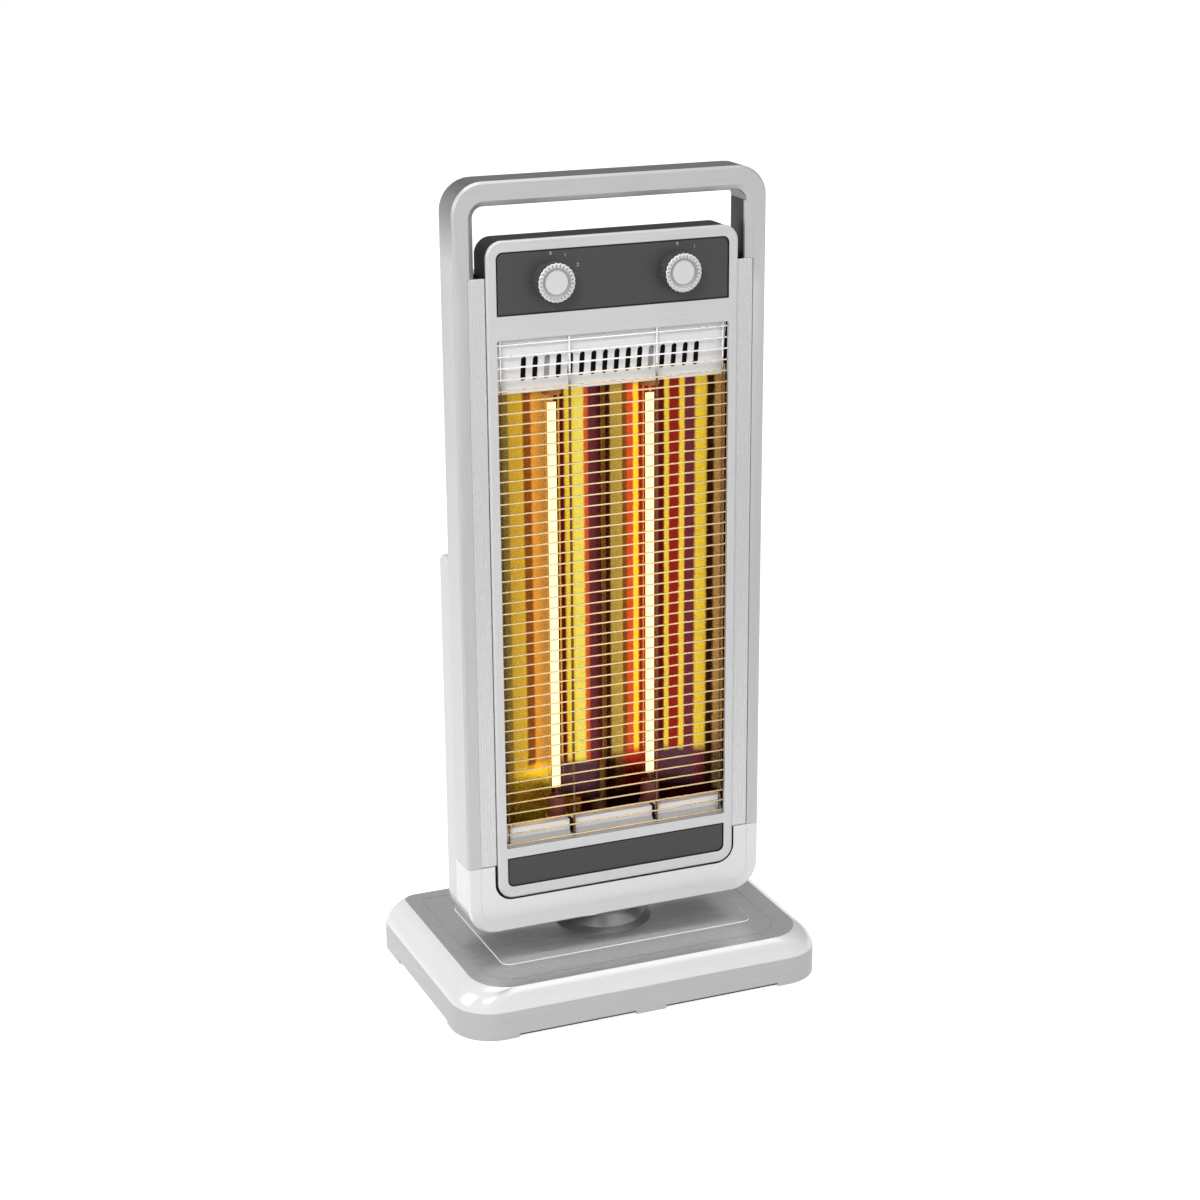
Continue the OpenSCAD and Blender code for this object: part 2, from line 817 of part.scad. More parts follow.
// The part of the loop that the grip takes the place of
module grip_zone() {
    block([-grip_half, front_y + grip_shift, gap_top - gap_r], [grip_half, back_y + over, frame_top + over]);
}

module front_frame() {
    color("silver") difference() {
        loop_form();
        grip_zone();
        block([-groove_half, front_y - over, seam_z - over],
              [groove_half, front_y + strip_sink + strip_t, strip_top + seam]);
        for (x = [-column_pilot_x, column_pilot_x], z = column_pilot_zs)
            translate([x, 0, z]) rod_y(screw_r + shaft_clear, back_y - column_pilot_depth, back_y + over);
    }
}

module handle_grip() {
    color("#4a4a4c") intersection() {
        loop_form();
        grip_zone();
    }
}

module side_strip(s) {
    low = s > 0 ? panel_half + seam : -groove_half + seam;
    high = s > 0 ? groove_half - seam : -panel_half - seam;
    block([low, front_y + strip_sink, seam_z + seam], [high, front_y + strip_sink + strip_t, strip_top]);
}

module side_strip_left() {
    color("gainsboro") side_strip(-1);
}

module side_strip_right() {
    color("gainsboro") side_strip(1);
}

module bezel() {
    color("lightgray") difference() {
        hull() {
            slab(bezel_y, bezel_y + skin)
                upright(panel_half - bezel_edge, panel_z + bezel_edge, panel_top - bezel_edge,
                        panel_r - bezel_edge, panel_r - bezel_edge, $fn = corner_fn);
            slab(bezel_y + bezel_edge, bezel_back)
                upright(panel_half, panel_z, panel_top, panel_r, panel_r, $fn = corner_fn);
        }
        slab(bezel_y - over, bezel_back + over)
            upright(window_half, window_z, window_top, window_r, window_r);
        slab(bezel_y - over, bezel_y + inlay_sink + inlay_t)
            upright(fascia_w / 2 + seam, fascia_z - seam, fascia_top + seam, inlay_r + seam, 0);
        slab(bezel_y - over, bezel_y + inlay_sink + inlay_t)
            upright(badge_half + seam, badge_z - seam, badge_z + badge_h + seam, 0, inlay_r + seam);
        for (s = [-1, 1]) translate([s * knob_x, 0, knob_z])
            rod_y(bushing_r + seam, bezel_y - over, bezel_back + over);
    }
}

module control_fascia() {
    color("#4c4c4e") difference() {
        slab(bezel_y + inlay_sink, bezel_y + inlay_sink + inlay_t)
            upright(fascia_w / 2, fascia_z, fascia_top, inlay_r, 0);
        for (s = [-1, 1]) translate([s * knob_x, 0, knob_z])
            rod_y(bushing_r + seam, bezel_y - over, bezel_back + over);
    }
}

module badge_plate() {
    color("#4c4c4e") slab(bezel_y + inlay_sink, bezel_y + inlay_sink + inlay_t)
        upright(badge_half, badge_z, badge_z + badge_h, 0, inlay_r);
}

module control_housing() {
    half = panel_half - fit_gap;
    top = panel_top - fit_gap;
    color("#3c3c3e") difference() {
        slab(bezel_back, control_back) upright(half, control_z, top, panel_r, 0);
        slab(bezel_back - over, control_back - shell_wall)
            upright(half - shell_wall, control_z - over, top - shell_wall, panel_r - shell_wall, 0);
        for (s = [-1, 1]) translate([s * control_screw_x, 0, control_screw_z])
            rod_y(screw_r + shaft_clear, control_back - shell_wall - over, control_back + over);
    }
}

// Rounded box that is open at the front
module rear_shell(half, low, high, r_top, r_low, front, back, wall) {
    difference() {
        rear_form(half, low, high, r_top, r_low, front, back);
        rear_form(half - wall, low + wall, high - wall, r_top - wall / 2, max(0, r_low - wall),
                  front - over, back - wall);
    }
}

module rear_form(half, low, high, r_top, r_low, front, back) {
    hull() {
        slab(front, back - round_d) upright(half, low, high, r_top, r_low, $fn = corner_fn);
        slab(back - round_shares[0] * round_d - skin, back - round_shares[0] * round_d)
            upright(half - round_shares[0] * round_d, low, high - round_shares[0] * round_d,
                    r_top, r_low, $fn = corner_fn);
        slab(back - skin, back)
            upright(half - round_d, low, high - round_d, r_top, r_low, $fn = corner_fn);
    }
}

// Rows of slots through a rear wall, in two columns
module louvres(low, rows, front, back) {
    for (x = [-louvre_x, louvre_x], i = [0:rows - 1])
        translate([x, 0, low + i * louvre_pitch]) slab(front, back) {
            square([louvre_w - louvre_h, louvre_h], center = true);
            for (s = [-1, 1]) translate([s * (louvre_w - louvre_h) / 2, 0]) circle(louvre_h / 2);
        }
}

module rear_cover() {
    color("silver") difference() {
        union() {
            rear_shell(rear_half, rear_z, rear_top, rear_r, 0, rear_front, rear_back, shell_wall);
            for (s = [-1, 1]) translate([s * control_screw_x, 0, control_screw_z])
                rod_y(boss_wall_r, rear_front, rear_back - shell_wall / 2);
        }
        louvres(rear_z + upper_louvre_foot, upper_rows, rear_back - 2 * shell_wall, rear_back + over);
        chassis_way(rear_z - over, rear_z + shell_wall + over);
        for (s = [-1, 1]) translate([s * control_screw_x, 0, control_screw_z]) {
            rod_y(screw_clear_r, rear_front - over, rear_back + over);
            rod_y(screw_head_r + seam, rear_back - shell_wall - screw_sink, rear_back + over);
        }
    }
}

module rear_housing() {
    color("gainsboro") difference() {
        union() {
            rear_shell(housing_half, body_z, housing_top, housing_r, housing_foot_r, back_y, housing_back,
                       shell_wall);
            for (x = [-column_pilot_x, column_pilot_x], z = column_pilot_zs)
                translate([x, 0, z]) rod_y(boss_wall_r, back_y, housing_back - shell_wall / 2 - boss_short);
        }
        louvres(body_z + louvre_foot, louvre_rows, housing_back - 2 * shell_wall, housing_back + over);
        for (x = [-column_pilot_x, column_pilot_x], z = column_pilot_zs) translate([x, 0, z]) {
            rod_y(screw_clear_r, back_y - over, housing_back + over);
            rod_y(screw_head_r + seam, housing_back - shell_wall - screw_sink, housing_back + over);
        }
        post(hub_bore / 2, body_z - over, body_z + shell_wall + over);
        for (a = [45, 135]) rotate(a) translate([table_screw_r, 0, 0])
            post(screw_clear_r, body_z - over, body_z + shell_wall + over);
        chassis_way(housing_top - shell_wall - over, housing_top + over);
    }
}

// The way for the chassis through the walls where the two rear covers meet
module chassis_way(low, high) {
    half = chassis_half + fit_gap;
    block([-half, rear_front - over, low], [half, chassis_back + fit_gap, high]);
}

// Screw along Y whose head seats at the plane given
module screw_back(seat_y, tip_y) {
    rod_y(screw_r, tip_y, seat_y + skin);
    rod_y(screw_head_r, seat_y, seat_y + screw_head_h);
}

module cover_screws() {
    color("#3a3a3a") {
        for (x = [-column_pilot_x, column_pilot_x], z = column_pilot_zs) translate([x, 0, z])
            screw_back(housing_back - shell_wall - screw_sink, back_y - column_pilot_depth + screw_short);
        for (s = [-1, 1]) translate([s * control_screw_x, 0, control_screw_z])
            screw_back(rear_back - shell_wall - screw_sink, control_back - shell_wall - screw_short);
    }
}

module chassis() {
    color("#55524c") difference() {
        slab(chassis_front, chassis_back) upright(chassis_half, chassis_z, chassis_top, 0, 0);
        slab(chassis_front - over, chassis_back - sheet_t)
            upright(chassis_half - sheet_t, chassis_z + sheet_t, chassis_top - sheet_t, 0, 0);
    }
}

module chassis_brackets() {
    color("darkgray") for (s = [-1, 1], share = bracket_rows_shares) {
        z = chassis_z + share * (chassis_top - chassis_z);
        low = s > 0 ? chassis_half : -gap_half;
        high = s > 0 ? gap_half : -chassis_half;
        block([low, bracket_y, z], [high, bracket_y + bracket_d, z + bracket_t]);
    }
}

// One trough of the reflector from its outer edge to the ridge in the middle,
// on the front of the sheet (t = 0) or on its back
function trough(s, t) = [for (i = [0:trough_points])
    let (a = 180 * i / trough_points, outer = a <= 90)
    [s * (lamp_x + (outer ? reflector_half - reflector_t - lamp_x + t : lamp_x) * cos(a)),
     trough_y + t - (trough_y - (outer ? reflector_edge_y : ridge_y)) * (1 - sin(a))]];

// Both troughs, from the outer edge on one side to the edge on the other
function troughs(s, t) = concat(trough(s, t), [for (i = [trough_points - 1:-1:0]) trough(-s, t)[i]]);

module reflector() {
    color("goldenrod") translate([0, 0, reflector_z]) linear_extrude(reflector_top - reflector_z)
        polygon(concat(troughs(1, 0), troughs(-1, reflector_t)));
}

module vent_plate() {
    color("white") translate([0, vent_front, vent_top]) rotate([vent_lean, 0, 0]) difference() {
        slab(0, sheet_t) upright(window_half, -vent_h / cos(vent_lean), 0, 0, 0);
        for (i = [0:vent_slots - 1])
            translate([(i - (vent_slots - 1) / 2) * vent_pitch, 0, -vent_h / 2])
                slab(-over, sheet_t + over) {
                    square([vent_slot_w, vent_slot_h - vent_slot_w], center = true);
                    for (s = [-1, 1]) translate([0, s * (vent_slot_h - vent_slot_w) / 2])
                        circle(vent_slot_w / 2);
                }
    }
}

module lower_ledge() {
    y0 = chassis_front + fit_gap;
    z0 = chassis_z + sheet_t;
    z1 = ledge_z;
    y1 = y0 + ledge_lip;
    y2 = y1 + ledge_slope_d;
    y3 = trough_y;
    t = sheet_t;
    color("gainsboro") difference() {
        translate([-window_half, 0, 0]) rotate([90, 0, 90]) linear_extrude(window_w) polygon([
            [y0, z0], [y0 + t, z0], [y0 + t, z1 - t], [y1, z1 - t], [y2, ledge_top - t], [y3, ledge_top - t],
            [y3, ledge_top], [y2, ledge_top], [y1, z1], [y0, z1]]);
        for (s = [-1, 1]) translate([s * lamp_x, lamp_y, 0]) post(cap_r + seam, z0, ledge_top + over);
    }
}

// Quartz tube with the pip where it was sealed, on the side towards the middle
module lamp_tube(x) {
    color("#d8d8e080") translate([x, lamp_y, 0]) difference() {
        union() {
            post(tube_r, tube_z, tube_top);
            translate([0, 0, tube_z + pip_share * (tube_top - tube_z)]) rotate([0, x < 0 ? 90 : -90, 0])
                cylinder(r1 = pip_r, r2 = pip_r / 2, h = tube_r + pip_l);
        }
        post(tube_r - tube_wall, tube_z - over, tube_top + over);
    }
}

module lamp_tube_left() {
    lamp_tube(-lamp_x);
}

module lamp_tube_right() {
    lamp_tube(lamp_x);
}

module carbon_strip(x) {
    color("orange") translate([x, lamp_y, 0]) {
        block([-carbon_w / 2, -carbon_t / 2, carbon_z], [carbon_w / 2, carbon_t / 2, carbon_top]);
        post(stem_r, tube_z, carbon_z + skin);
        post(stem_r, carbon_top - skin, tube_top);
    }
}

module carbon_strip_left() {
    carbon_strip(-lamp_x);
}

module carbon_strip_right() {
    carbon_strip(lamp_x);
}

module lamp_caps() {
    color("ivory") for (x = [-lamp_x, lamp_x]) translate([x, lamp_y, 0]) {
        difference() {
            post(cap_r, cap_z, cap_z + cap_l);
            post(tube_r + seam, tube_z, cap_z + cap_l + over);
        }
        difference() {
            post(cap_r, cap_top - cap_l, cap_top);
            post(tube_r + seam, cap_top - cap_l - over, tube_top);
        }
    }
}

module lamp_clips() {
    color("silver") for (x = [-lamp_x, lamp_x]) translate([x, lamp_y, 0]) {
        lamp_clip(cap_z, chassis_z + sheet_t, -1);
        lamp_clip(cap_top, chassis_top - sheet_t, 1);
    }
}

// Spring clip round the end of a cap, on a leg that stands on the chassis
module lamp_clip(end, foot, s) {
    inner = end - s * clip_h;
    floor_end = end + s * clip_wall;
    difference() {
        post(cap_r + seam + clip_wall, min(inner, foot), max(inner, foot));
        post(cap_r + seam, min(inner - s * over, end), max(inner - s * over, end));
        post(cap_r + seam, min(floor_end, foot + s * over), max(floor_end, foot + s * over));
        block([-cap_r / 2, -cap_r - clip_wall - over, min(inner, foot) - over],
              [cap_r / 2, 0, max(inner, foot) + over]);
    }
}

// Upright of the guard, from the ledge's lip to the top of the window
module guard_upright(r) {
    translate([0, 0, ledge_z + seam]) cylinder(r = r, h = window_top - seam - ledge_z - seam, $fn = wire_fn);
}

module wire_guard() {
    color("whitesmoke") {
        for (i = [0:wire_count - 1]) translate([-wire_half, guard_y, wire_bottom + i * wire_pitch])
            rotate([0, 90, 0]) cylinder(r = wire_r, h = 2 * wire_half, $fn = wire_fn);
        for (x = [-edge_rod_x, edge_rod_x]) translate([x, guard_y + 2 * wire_r - weld, 0])
            guard_upright(wire_r);
        for (s = [-1, 1]) translate([s * rod_spacing / 2, rod_line_y, 0]) guard_upright(rod_r);
    }
}

module rotary_switch(x) {
    translate([x, 0, knob_z]) difference() {
        union() {
            block([-switch_w / 2, switch_front, -switch_h / 2],
                  [switch_w / 2, switch_front + switch_d, switch_h / 2]);
            rod_y(bushing_r, bezel_y + inlay_sink + fit_gap, switch_front + skin);
        }
        rod_y(shaft_r + shaft_clear, bezel_y - over, switch_front + shaft_depth);
    }
}

module power_switch() {
    color("#d8d2c4") rotary_switch(-knob_x);
}

module swing_switch() {
    color("#d8d2c4") rotary_switch(knob_x);
}

module thermal_cutout() {
    color("silver") translate([cutout_x, 0, cutout_z]) {
        rod_y(cutout_r, chassis_back, chassis_back + cutout_h / 2);
        rod_y(cutout_r / 2, chassis_back + cutout_h / 2 - skin, chassis_back + cutout_h);
    }
}

module terminal_block() {
    color("whitesmoke") translate([0, 0, block_z]) difference() {
        block([-block_w / 2, housing_back - shell_wall - block_d, 0],
              [block_w / 2, housing_back - shell_wall, block_h]);
        for (i = [0:block_ways - 1])
            translate([(i - (block_ways - 1) / 2) * block_w / block_ways,
                       housing_back - shell_wall - block_d / 2, 0])
                post(block_way_r, -over, block_h + over);
    }
}

// Knob with a fluted rim and a hollow back, on the axis given
module knob(x) {
    translate([x, 0, knob_z]) difference() {
        union() {
            difference() {
                union() {
                    rod_y(knob_d / 2, knob_front + knob_rim, knob_back - knob_skirt);
                    translate([0, knob_front + knob_rim, 0]) rotate([90, 0, 0])
                        cylinder(r1 = knob_d / 2, r2 = knob_d / 2 - knob_rim, h = knob_rim);
                    rod_y(knob_d / 2 - flute_r, knob_back - knob_skirt - skin, knob_back);
                }
                rod_y(knob_d / 2 - knob_shell, knob_front + knob_dish + disc_t + knob_shell,
                      knob_back + over);
            }
            rod_y(knob_hub_r, knob_front + knob_rim, knob_back);
        }
        rod_y(knob_disc_r + seam, knob_front - over, knob_front + knob_dish + disc_t);
        rod_y(shaft_r + shaft_clear, shaft_front, knob_back + over);
        for (i = [0:flutes - 1]) rotate([0, i * 360 / flutes, 0]) translate([knob_d / 2, 0, 0])
            rod_y(flute_r, knob_front - over, knob_back - knob_skirt + skin);
    }
}

// Disc in the face of a knob, with a raised middle
module knob_cap(x) {
    translate([x, 0, knob_z]) {
        rod_y(knob_disc_r, knob_front + knob_dish, knob_front + knob_dish + disc_t);
        translate([0, knob_front + knob_dish + skin, 0]) rotate([90, 0, 0])
            cylinder(r1 = knob_disc_r - knob_rim, r2 = knob_disc_r - 2 * knob_rim, h = knob_dish / 2);
    }
}

module knob_shaft(x) {
    translate([x, 0, knob_z])
        rod_y(shaft_r, shaft_front + seam, switch_front + shaft_depth - run_gap);
}

module power_knob() {
    color("lightgray") knob(-knob_x);
}

module power_knob_cap() {
    color("silver") knob_cap(-knob_x);
}

module power_shaft() {
    color("gray") knob_shaft(-knob_x);
}

module swing_knob() {
    color("lightgray") knob(knob_x);
}

module swing_knob_cap() {
    color("silver") knob_cap(knob_x);
}

module swing_shaft() {
    color("gray") knob_shaft(knob_x);
}

base_cover();
base_plate();
rubber_feet();
base_ballast();
base_screws();
cord_gland();
bearing_ring();
swivel_motor();
motor_screws();
tip_switch();
motor_crank();
tip_plunger();
turntable();
swing_arm();
arm_screws();
turntable_screws();
lower_cover();
front_frame();
handle_grip();
side_strip_left();
side_strip_right();
bezel();
control_fascia();
badge_plate();
control_housing();
rear_cover();
rear_housing();
cover_screws();
chassis();
chassis_brackets();
reflector();
vent_plate();
lower_ledge();
lamp_tube_left();
lamp_tube_right();
carbon_strip_left();
carbon_strip_right();
lamp_caps();
lamp_clips();
wire_guard();
power_switch();
swing_switch();
thermal_cutout();
terminal_block();
power_knob();
power_knob_cap();
power_shaft();
swing_knob();
swing_knob_cap();
swing_shaft();
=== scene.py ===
import contextlib
import json
import math

import bmesh
import bpy
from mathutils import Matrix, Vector

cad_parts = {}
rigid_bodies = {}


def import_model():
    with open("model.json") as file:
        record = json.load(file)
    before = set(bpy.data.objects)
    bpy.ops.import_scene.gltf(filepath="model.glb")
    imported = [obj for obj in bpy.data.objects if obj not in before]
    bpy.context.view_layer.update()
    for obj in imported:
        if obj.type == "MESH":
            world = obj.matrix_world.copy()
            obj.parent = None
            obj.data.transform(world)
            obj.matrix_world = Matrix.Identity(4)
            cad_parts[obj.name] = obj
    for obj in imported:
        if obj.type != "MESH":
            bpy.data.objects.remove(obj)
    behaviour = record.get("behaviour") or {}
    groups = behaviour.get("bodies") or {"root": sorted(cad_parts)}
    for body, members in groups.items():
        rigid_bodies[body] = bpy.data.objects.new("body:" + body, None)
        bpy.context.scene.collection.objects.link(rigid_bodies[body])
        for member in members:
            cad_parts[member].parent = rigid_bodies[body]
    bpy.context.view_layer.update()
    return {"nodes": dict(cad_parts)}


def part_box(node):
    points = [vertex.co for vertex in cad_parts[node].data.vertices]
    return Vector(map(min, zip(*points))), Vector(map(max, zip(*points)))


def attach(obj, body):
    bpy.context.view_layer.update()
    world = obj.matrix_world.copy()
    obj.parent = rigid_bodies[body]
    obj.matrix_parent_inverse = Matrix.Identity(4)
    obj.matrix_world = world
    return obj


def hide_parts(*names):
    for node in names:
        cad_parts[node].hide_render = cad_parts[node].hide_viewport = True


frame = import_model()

bl_info = {
    "name": "Carbon heater",
    "version": (1, 0, 0),
    "blender": (4, 5, 0),
    "location": "View3D > Sidebar > Heater",
    "description": "Dresses a two-lamp carbon heater with its covers, guard, lamps and knobs",
    "category": "Object",
}

MM = 0.001

# Places of the CAD nodes, in metres
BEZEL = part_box("bezel")
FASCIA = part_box("control_fascia")
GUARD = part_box("wire_guard")
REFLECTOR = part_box("reflector")
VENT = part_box("vent_plate")
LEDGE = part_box("lower_ledge")
POWER_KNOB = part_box("power_knob")
SWING_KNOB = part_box("swing_knob")
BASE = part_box("base_cover")


# Property groups

class HeaterSizes(bpy.types.PropertyGroup):
    """Sizes of the dressing pieces."""

    edge_round: bpy.props.FloatProperty(
        name="Edge rounding", description="Rounding of the moulded edges",
        default=0.0007, min=0.0, unit="LENGTH")
    wire_radius: bpy.props.FloatProperty(
        name="Wire radius", description="Radius of a guard wire",
        default=0.0008, min=0.0004, unit="LENGTH")
    wire_pitch: bpy.props.FloatProperty(
        name="Wire pitch", description="Distance between guard wires",
        default=0.0102, min=0.004, unit="LENGTH")
    wire_first: bpy.props.FloatProperty(
        name="First wire", description="Height of the lowest guard wire",
        default=0.1555, min=0.1, unit="LENGTH")
    wire_count: bpy.props.IntProperty(
        name="Wires", description="Number of guard wires", default=47, min=2)
    rod_radius: bpy.props.FloatProperty(
        name="Rod radius", description="Radius of the two upright rods",
        default=0.0012, min=0.0006, unit="LENGTH")
    rod_spacing: bpy.props.FloatProperty(
        name="Rod spacing", description="Distance between the upright rods",
        default=0.084, min=0.02, unit="LENGTH")
    knob_ribs: bpy.props.IntProperty(
        name="Knob ribs", description="Number of ribs round a knob", default=26, min=12)


class HeaterColours(bpy.types.PropertyGroup):
    """Colours of the finishes."""

    loop_silver: bpy.props.FloatVectorProperty(
        name="Loop silver", description="Painted silver of the handle loop",
        subtype="COLOR", size=3, default=(0.56, 0.56, 0.57), min=0.0, max=1.0)
    bezel_silver: bpy.props.FloatVectorProperty(
        name="Bezel silver", description="Painted silver of the bezel",
        subtype="COLOR", size=3, default=(0.66, 0.66, 0.665), min=0.0, max=1.0)
    # The deck's darker silver and the pearl on the shoulder are painted shade and painted light on the
    # base's one plastic
    deck_silver: bpy.props.FloatVectorProperty(
        name="Deck silver", description="Brushed silver of the base's deck",
        subtype="COLOR", size=3, default=(0.46, 0.46, 0.465), min=0.0, max=1.0)
    skirt_silver: bpy.props.FloatVectorProperty(
        name="Skirt silver", description="Satin silver of the base's skirt",
        subtype="COLOR", size=3, default=(0.50, 0.50, 0.51), min=0.0, max=1.0)
    pearl: bpy.props.FloatVectorProperty(
        name="Pearl", description="Bright glossy silver of the lower cover and the shoulder",
        subtype="COLOR", size=3, default=(0.80, 0.80, 0.805), min=0.0, max=1.0)
    graphite: bpy.props.FloatVectorProperty(
        name="Graphite", description="Dark grey of the fascia and the badge plate",
        subtype="COLOR", size=3, default=(0.050, 0.050, 0.052), min=0.0, max=1.0)
    grip_grey: bpy.props.FloatVectorProperty(
        name="Grip grey", description="Grey of the handle's grip",
        subtype="COLOR", size=3, default=(0.075, 0.075, 0.078), min=0.0, max=1.0)
    enamel: bpy.props.FloatVectorProperty(
        name="Enamel", description="White of the vent plate",
        subtype="COLOR", size=3, default=(0.90, 0.90, 0.90), min=0.0, max=1.0)
    glow: bpy.props.FloatVectorProperty(
        name="Glow", description="Light of the carbon strips",
        subtype="COLOR", size=3, default=(1.0, 0.68, 0.34), min=0.0, max=1.0)
    glow_strength: bpy.props.FloatProperty(
        name="Glow strength", description="Strength of the carbon strips' light",
        default=2.2, min=0.0)


class HeaterStage(bpy.types.PropertyGroup):
    """Camera and light."""

    camera_place: bpy.props.FloatVectorProperty(
        name="Camera", description="Place of the camera", subtype="TRANSLATION", unit="LENGTH",
        size=3, default=(-0.8746, -2.1298, 1.0978))
    camera_target: bpy.props.FloatVectorProperty(
        name="Target", description="Point that the camera looks at", subtype="TRANSLATION",
        unit="LENGTH", size=3, default=(0.0461, -0.0225, 0.3052))
    lens: bpy.props.FloatProperty(
        name="Lens", description="Focal length in millimetres", default=77.96, min=10.0)
    shift_x: bpy.props.FloatProperty(
        name="Shift X", description="Sideways shift of the picture", default=-0.0451)
    shift_y: bpy.props.FloatProperty(
        name="Shift Y", description="Upward shift of the picture", default=0.0542)
    floor_white: bpy.props.FloatProperty(
        name="Floor", description="Lightness of the floor", default=0.93, min=0.0, max=1.0)


# Places and colours of the finishes, with their painted light and shade

# Share by which painted light makes the silver of the loop's sides lighter
SIDE_PAINTED_LIGHT = 1.2
SHADE_START = 0.696
SHADE_END = 0.765
COLUMN_END = 0.728
HANDLE_START = 0.740
# Height where the painted glow light and shade on the guard end
PAINTED_GLOW_END = 0.583
PLAIN_START = 0.600
BROWN_END = 0.25
PAINTED_GLOW_START = 0.50
CERAMIC_FOOT = (0.16, 0.035, 0.025)
# Painted amber glow at the head of the lamps' ceramic
CERAMIC_PAINTED_GLOW = (0.80, 0.30, 0.06)
CARBON = (0.05, 0.03, 0.02)
QUARTZ = (1.0, 0.97, 0.93, 1.0)

# Colours in eight-bit steps: painted reflections of the glowing lamps and their surroundings on the gold
# reflector, and painted shade and light behind the slots
EIGHT_BIT = 255
CURVE_LIFT = 0.055
CURVE_POWER = 2.4
OLIVE = (136, 126, 66)
KHAKI = (172, 156, 80)
GOLD = (202, 174, 62)
TAN = (200, 155, 92)
SAND = (200, 175, 130)
BROWN = (116, 70, 28)
SOOT = (62, 30, 12)
AMBER = (196, 144, 66)
YELLOW = (255, 216, 62)
PALE_YELLOW = (255, 236, 100)
EMBER = (255, 170, 40)
ORANGE = (228, 96, 44)
BRICK = (188, 76, 52)
RED = (150, 34, 26)
WINE = (90, 12, 18)
PLUM = (112, 46, 57)
DUSK = (90, 56, 66)
SHADOW = (12, 11, 11)
LIT_GLIMPSE = (190, 190, 190)

# Upright bands of the reflector's painted reflections: start and end in millimetres along X, and colour
LEFT_REFLECTION_BANDS = (
    (-112, -87, OLIVE), (-86, -71, GOLD), (-69, -62.5, BROWN), (-61, -39.5, AMBER), (-38.5, -30, WINE),
    (-28.5, -21.5, YELLOW), (-20.5, -13, PALE_YELLOW), (-12, -9.5, ORANGE), (-8.5, -2.5, PLUM),
)
RIGHT_REFLECTION_BANDS = (
    (-1.8, 7, TAN), (8, 13, SOOT), (14.5, 27, KHAKI), (28, 32, BROWN), (33, 38.8, BRICK), (39.6, 44, YELLOW),
    (45, 58, RED), (59, 64, RED), (65, 69, WINE), (70, 73.4, YELLOW), (74.4, 82, RED), (83, 86.4, YELLOW),
    (87.4, 94.8, PLUM), (96, 103, YELLOW), (104, 107.6, SOOT), (108.4, 112, SAND),
)
FOOT_REFLECTION_BANDS = (
    (-112, -87, GOLD), (-86, -49, YELLOW), (-47, -39, WINE), (-37, -9, DUSK), (-8, -2.5, DUSK),
    (-1.8, 6, TAN), (7, 18, SOOT), (19, 29, BROWN), (31, 50, RED), (52, 66, PLUM), (68, 94, DUSK),
    (95, 103, PLUM), (104, 107.6, SOOT), (108.4, 112, SAND),
)
LOW_GLOW_REFLECTION_BANDS = (
    (-112, -87, GOLD), (-86, -49, YELLOW), (-47, -38, BRICK), (-37, -19, EMBER), (-17, -9, WINE),
    (-1.8, 6, TAN), (7, 29, SOOT), (31, 112, WINE),
)
# Bands of the plate behind the slots: painted shade, with two patches of painted light
SLOT_BANDS = (
    (-112, -65.6, SHADOW), (-65.2, -57, LIT_GLIMPSE), (-56.6, 34.4, SHADOW), (34.8, 43, LIT_GLIMPSE), (43.4, 112, SHADOW),
)
BAND_REACH = 0.112
RIDGE_LINE = 0.0001
RIPPLE_ACROSS = 0.0012
RIPPLE_UP = 0.008
FOOT_LINE = (0.205, 0.214)
LOW_GLOW_REFLECTION_LINE = (0.1705, 0.1730)
EVEN = (1.0, 1.0, 1.0)
WHITE = (1.0, 1.0, 1.0, 1.0)


# Material helpers

def feed(tree, node, sockets):
    """Gives each named socket of a node its value, or links another node's output to it."""
    for key, source in sockets.items():
        if isinstance(source, bpy.types.NodeSocket):
            tree.links.new(source, node.inputs[key])
        else:
            node.inputs[key].default_value = source


def add_node(tree, kind, sockets=None, **settings):
    """Adds a node with its settings, feeds its sockets and returns its outputs."""
    node = tree.nodes.new("ShaderNode" + kind)
    for key, value in settings.items():
        setattr(node, key, value)
    feed(tree, node, sockets or {})
    return node.outputs


def stretched(tree, stretch):
    """Object coordinates, drawn out along an axis by a small stretch value there."""
    place = add_node(tree, "TexCoord")["Object"]
    return add_node(tree, "Mapping", {"Vector": place, "Scale": stretch})["Vector"]


def noise(tree, scale, stretch=EVEN, detail=3.0, rough=0.55):
    """Cloudy noise on Object coordinates."""
    sockets = {"Vector": stretched(tree, stretch), "Scale": scale, "Detail": detail, "Roughness": rough}
    return add_node(tree, "TexNoise", sockets)["Fac"]


def cells(tree, scale, stretch=EVEN):
    """Rounded cells on Object coordinates, for dimples and spangle."""
    return add_node(tree, "TexVoronoi", {"Vector": stretched(tree, stretch), "Scale": scale})["Distance"]


def place_along(tree, axis):
    """Object coordinate along one axis."""
    return add_node(tree, "SeparateXYZ", {"Vector": add_node(tree, "TexCoord")["Object"]})[axis]


def spread(tree, value, low, high, start=0.3, end=0.7):
    """Runs a pattern's values from start to end between low and high."""
    sockets = {"Value": value, "From Min": start, "From Max": end, "To Min": low, "To Max": high}
    return add_node(tree, "MapRange", sockets)["Result"]


def step(tree, value, start, end):
    """Nought below one place, one above the other."""
    return spread(tree, value, 0.0, 1.0, start, end)


def tint(tree, value, colour, dark, light, start=0.3, end=0.7):
    """Runs a pattern between a darker and a lighter share of a colour."""
    ramp = tree.nodes.new("ShaderNodeValToRGB")
    for stop, place, share in zip(ramp.color_ramp.elements, (start, end), (dark, light)):
        stop.position = place
        stop.color = [min(1.0, part * share) for part in colour] + [1.0]
    feed(tree, ramp, {"Fac": value})
    return ramp.outputs["Color"]


